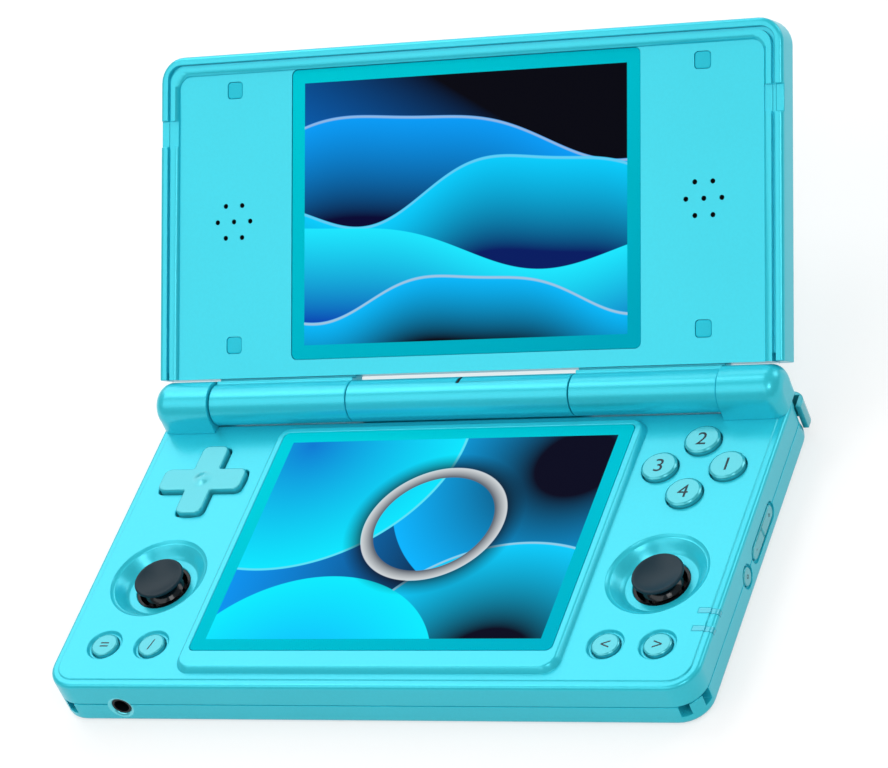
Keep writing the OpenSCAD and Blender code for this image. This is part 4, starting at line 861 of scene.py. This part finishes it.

# ---- Screws, plugs, feet and speaker holes ----
# Small parts that repeat: four rubber feet in round seats, four square rubber plugs over the lid's screws, and seven
# holes over each speaker, each lined with black as painted shade.


def empty_tree(name, *sizes):
    """Geometry tree with inputs for its sizes, the shape that repeats and its finish."""
    tree = bpy.data.node_groups.new(name, "GeometryNodeTree")
    sockets = {}
    for label, kind in [(size, "Float") for size in sizes] + [("Shape", "Object"), ("Finish", "Material")]:
        sockets[label] = tree.interface.new_socket(label, in_out="INPUT", socket_type="NodeSocket" + kind).identifier
    tree.interface.new_socket("Geometry", in_out="OUTPUT", socket_type="NodeSocketGeometry")
    return tree, sockets, add(tree, "NodeGroupInput")


def shape_on_points(tree, inlet, points):
    """Ends a tree: the shape on every point, made real and given its finish."""
    shape = feed(tree, add(tree, "GeometryNodeObjectInfo"), Object=inlet.outputs["Shape"])
    spread = feed(tree, add(tree, "GeometryNodeInstanceOnPoints"), Points=points,
                  Instance=shape.outputs["Geometry"])
    real = feed(tree, add(tree, "GeometryNodeRealizeInstances"), Geometry=spread.outputs["Instances"])
    finish = feed(tree, add(tree, "GeometryNodeSetMaterial"), Geometry=real.outputs["Geometry"],
                  Material=inlet.outputs["Finish"])
    tree.links.new(finish.outputs["Geometry"], add(tree, "NodeGroupOutput").inputs["Geometry"])


def corner_tree():
    """A shape at each corner of a rectangle."""
    tree, sockets, inlet = empty_tree("four_corners", "Across", "Along")
    corners = feed(tree, add(tree, "GeometryNodeMeshGrid"), Size_X=inlet.outputs["Across"],
                   Size_Y=inlet.outputs["Along"], Vertices_X=2, Vertices_Y=2)
    shape_on_points(tree, inlet, corners.outputs["Mesh"])
    return tree, sockets


def grille_tree():
    """Two rings of points with one in the middle of each, and a shape on every point."""
    tree, sockets, inlet = empty_tree("speaker_grilles", "Apart", "Pitch")
    ring = feed(tree, add(tree, "GeometryNodeMeshCircle"), Vertices=6, Radius=inlet.outputs["Pitch"])
    middle = feed(tree, add(tree, "GeometryNodeMeshLine"), Count=1)
    holes = add(tree, "GeometryNodeJoinGeometry")
    tree.links.new(ring.outputs["Mesh"], holes.inputs["Geometry"])
    tree.links.new(middle.outputs["Mesh"], holes.inputs["Geometry"])
    start = feed(tree, add(tree, "ShaderNodeCombineXYZ"), X=sums(tree, "MULTIPLY", inlet.outputs["Apart"], -0.5))
    offset = feed(tree, add(tree, "ShaderNodeCombineXYZ"), X=inlet.outputs["Apart"])
    pair = feed(tree, add(tree, "GeometryNodeMeshLine"), Count=2, Start_Location=start.outputs[0],
                Offset=offset.outputs[0])
    both = feed(tree, add(tree, "GeometryNodeInstanceOnPoints"), Points=pair.outputs["Mesh"],
                Instance=holes.outputs["Geometry"])
    spots = feed(tree, add(tree, "GeometryNodeRealizeInstances"), Geometry=both.outputs["Instances"])
    shape_on_points(tree, inlet, spots.outputs["Geometry"])
    return tree, sockets


def repeated(name, recipe, values, matrix, body, slot, *nodes):
    """Plain mesh from a tree of repeats, moved to its place, riding on a body."""
    tree, sockets = recipe
    carrier = bpy.data.objects.new(name + "_carrier", bpy.data.meshes.new(name + "_carrier"))
    bpy.context.scene.collection.objects.link(carrier)
    repeat = carrier.modifiers.new("repeat", "NODES")
    repeat.node_group = tree
    for label, value in values.items():
        repeat[sockets[label]] = value
    mesh = evaluated_mesh(carrier)
    carrier.modifiers.remove(repeat)
    bpy.data.objects.remove(carrier)
    bpy.data.objects.remove(values["Shape"])
    mesh.transform(matrix)
    mesh.name = name
    piece = bpy.data.objects.new(name, mesh)
    bpy.context.scene.collection.objects.link(piece)
    stand_for(piece, body, slot, *nodes)


def soft_tile(name, side, corner, levels, *materials):
    """Square pad with rounded corners, built from levels of (inset, height) in millimetres."""
    form = bmesh.new()
    rings = []
    for inset, height in levels:
        ring = []
        for quarter in range(4):
            for step in range(7):
                angle = math.radians(90 * quarter + 15 * step)
                cx = (side / 2 - corner) * (1 if quarter in (0, 3) else -1)
                cy = (side / 2 - corner) * (1 if quarter < 2 else -1)
                reach = corner - inset
                ring.append(form.verts.new(((cx + reach * math.cos(angle)) * MM,
                                            (cy + reach * math.sin(angle)) * MM, height * MM)))
        rings.append(ring)
    for below, above in zip(rings, rings[1:]):
        for step in range(28):
            after = (step + 1) % 28
            form.faces.new((below[step], below[after], above[after], above[step])).smooth = True
    form.faces.new(rings[-1]).smooth = True
    form.faces.new(list(reversed(rings[0])))
    bmesh.ops.recalc_face_normals(form, faces=form.faces)
    return cast(form, name, *materials)


four_corners = corner_tree()
speaker_grilles = grille_tree()
foot_rubber = pearl("foot_rubber", (0.018, 0.019, 0.021), roughness=0.6, coat=0.0, drift=0.12, flake=1500, bump=0.3)
plug_rubber = pearl("plug_rubber", (0.010, 0.66, 0.83), roughness=0.45, shine=0.25, coat=0.0, drift=0.05,
                    flake=2200, bump=0.08)
# Black for the insides of the speaker holes and the microphone slot: painted shade inside the openings.
painted_hole_shade = pearl("painted_hole_shade", (0.003, 0.004, 0.005), roughness=0.7, coat=0.0, drift=0.1)
foot = lathe("foot_shape", [(0, 0.5), (3.5, 0.5), (3.5, -0.22), (3.42, -0.33), (3.24, -0.4), (2.5, -0.4), (2.3, -0.3),
                            (0, -0.3)], (0, 0, 0), segments=64)
feet_across, feet_along = 132, 70
repeated("rubber_feet_set", four_corners,
         {"Across": feet_across * MM, "Along": feet_along * MM, "Shape": foot, "Finish": foot_rubber},
         Matrix.Identity(4), "base", "foot_rubber", "rubber_feet")
plugs_across, plugs_along = 120.4, 60.8
plug = soft_tile("plug_shape", 3.86, 0.85, [(0, -0.1), (0, 0.52), (0.06, 0.60), (0.2, 0.65), (0.6, 0.68)])
repeated("screw_plug_set", four_corners,
         {"Across": plugs_across * MM, "Along": plugs_along * MM, "Shape": plug, "Finish": plug_rubber},
         lid_place @ Matrix.Translation((0, upper_glass_u * MM, 0)), "lid", "plug_teal", "screw_plugs")
speaker_u, speakers_apart, hole_pitch = 43.4, 120.8, 4.4
# Black cups line every speaker hole: painted shade inside the holes.
cup = lathe("hole_shape", [(0, -0.95), (0.585, -0.95), (0.585, 0.55), (0.50, 0.60), (0.48, -0.8), (0, -0.8)],
            (0, 0, 0), segments=20)
repeated("speaker_hole_cups", speaker_grilles,
         {"Apart": speakers_apart * MM, "Pitch": hole_pitch * MM, "Shape": cup, "Finish": painted_hole_shade},
         lid_place @ Matrix.Translation((0, speaker_u * MM, 0)), "lid", "dark_plastic")
# A black tile sunk under the middle barrel's microphone slot: painted shade inside the slot.
mic_lean = math.radians(-17)
mic_w, mic_l = 0.85, 2.95
barrel_r = 4.9
mic = soft_tile("mic_opening", 1, 0.4, [(0, -0.55), (0, -0.24)], painted_hole_shade)
mic.data.transform(Matrix.Translation(hinge_axis) @ Matrix.Rotation(mic_lean, 4, "X")
                   @ Matrix.Translation((0, 0, barrel_r * MM)) @ Matrix.Diagonal((mic_w, mic_l, 1, 1)))
stand_for(mic, "base", "dark_plastic")
dress(turned_steel, "lid_screws", "case_screws")

# ---- Insides ----
# What the shells hold: the green main board with its copper spreader, the
# battery pouch, and a speaker with a foam ring behind each grille.


def board_material():
    """Green mask over copper traces, with tinned pads."""
    material, tree, shader = new_material("green_board")
    spot = add(tree, "ShaderNodeTexCoord").outputs["Object"]
    cells = feed(tree, add(tree, "ShaderNodeTexVoronoi", distance="CHEBYCHEV"), Vector=spot, Scale=420.0)
    pads = level(tree, cells.outputs["Distance"], 0.16, 0.12)
    runs = feed(tree, add(tree, "ShaderNodeTexBrick"), Vector=spot, Scale=260.0)
    feed(tree, runs, Color1=(0.012, 0.16, 0.07, 1), Color2=(0.010, 0.13, 0.06, 1), Mortar=(0.03, 0.26, 0.11, 1),
         Mortar_Size=0.03)
    feed(tree, shader, Base_Color=blend(tree, pads, runs.outputs["Color"], (0.62, 0.56, 0.38, 1)), Metallic=pads,
         Roughness=level(tree, cells.outputs["Distance"], 0.1, 0.5, 0.3, 0.45))
    return material


dress(board_material(), "main_board")
dress(metal("copper_sheet", (0.72, 0.32, 0.16), stretch=(0.06, 1, 1), roughness=0.35), "heat_spreader")
pouch_foil = metal("pouch_foil", (0.62, 0.64, 0.66), stretch=(0.25, 0.3, 0.3), contrast=0.2, roughness=0.42, bump=0.6)
dress(pouch_foil, "battery")
dress(pearl("speaker_black", (0.012, 0.012, 0.014), roughness=0.5, coat=0.0, drift=0.1), "speakers")
foam_ring = pearl("foam_ring", (0.05, 0.052, 0.055), roughness=0.85, coat=0.0, drift=0.2, flake=900, bump=0.6)
dress(foam_ring, "speaker_gaskets")
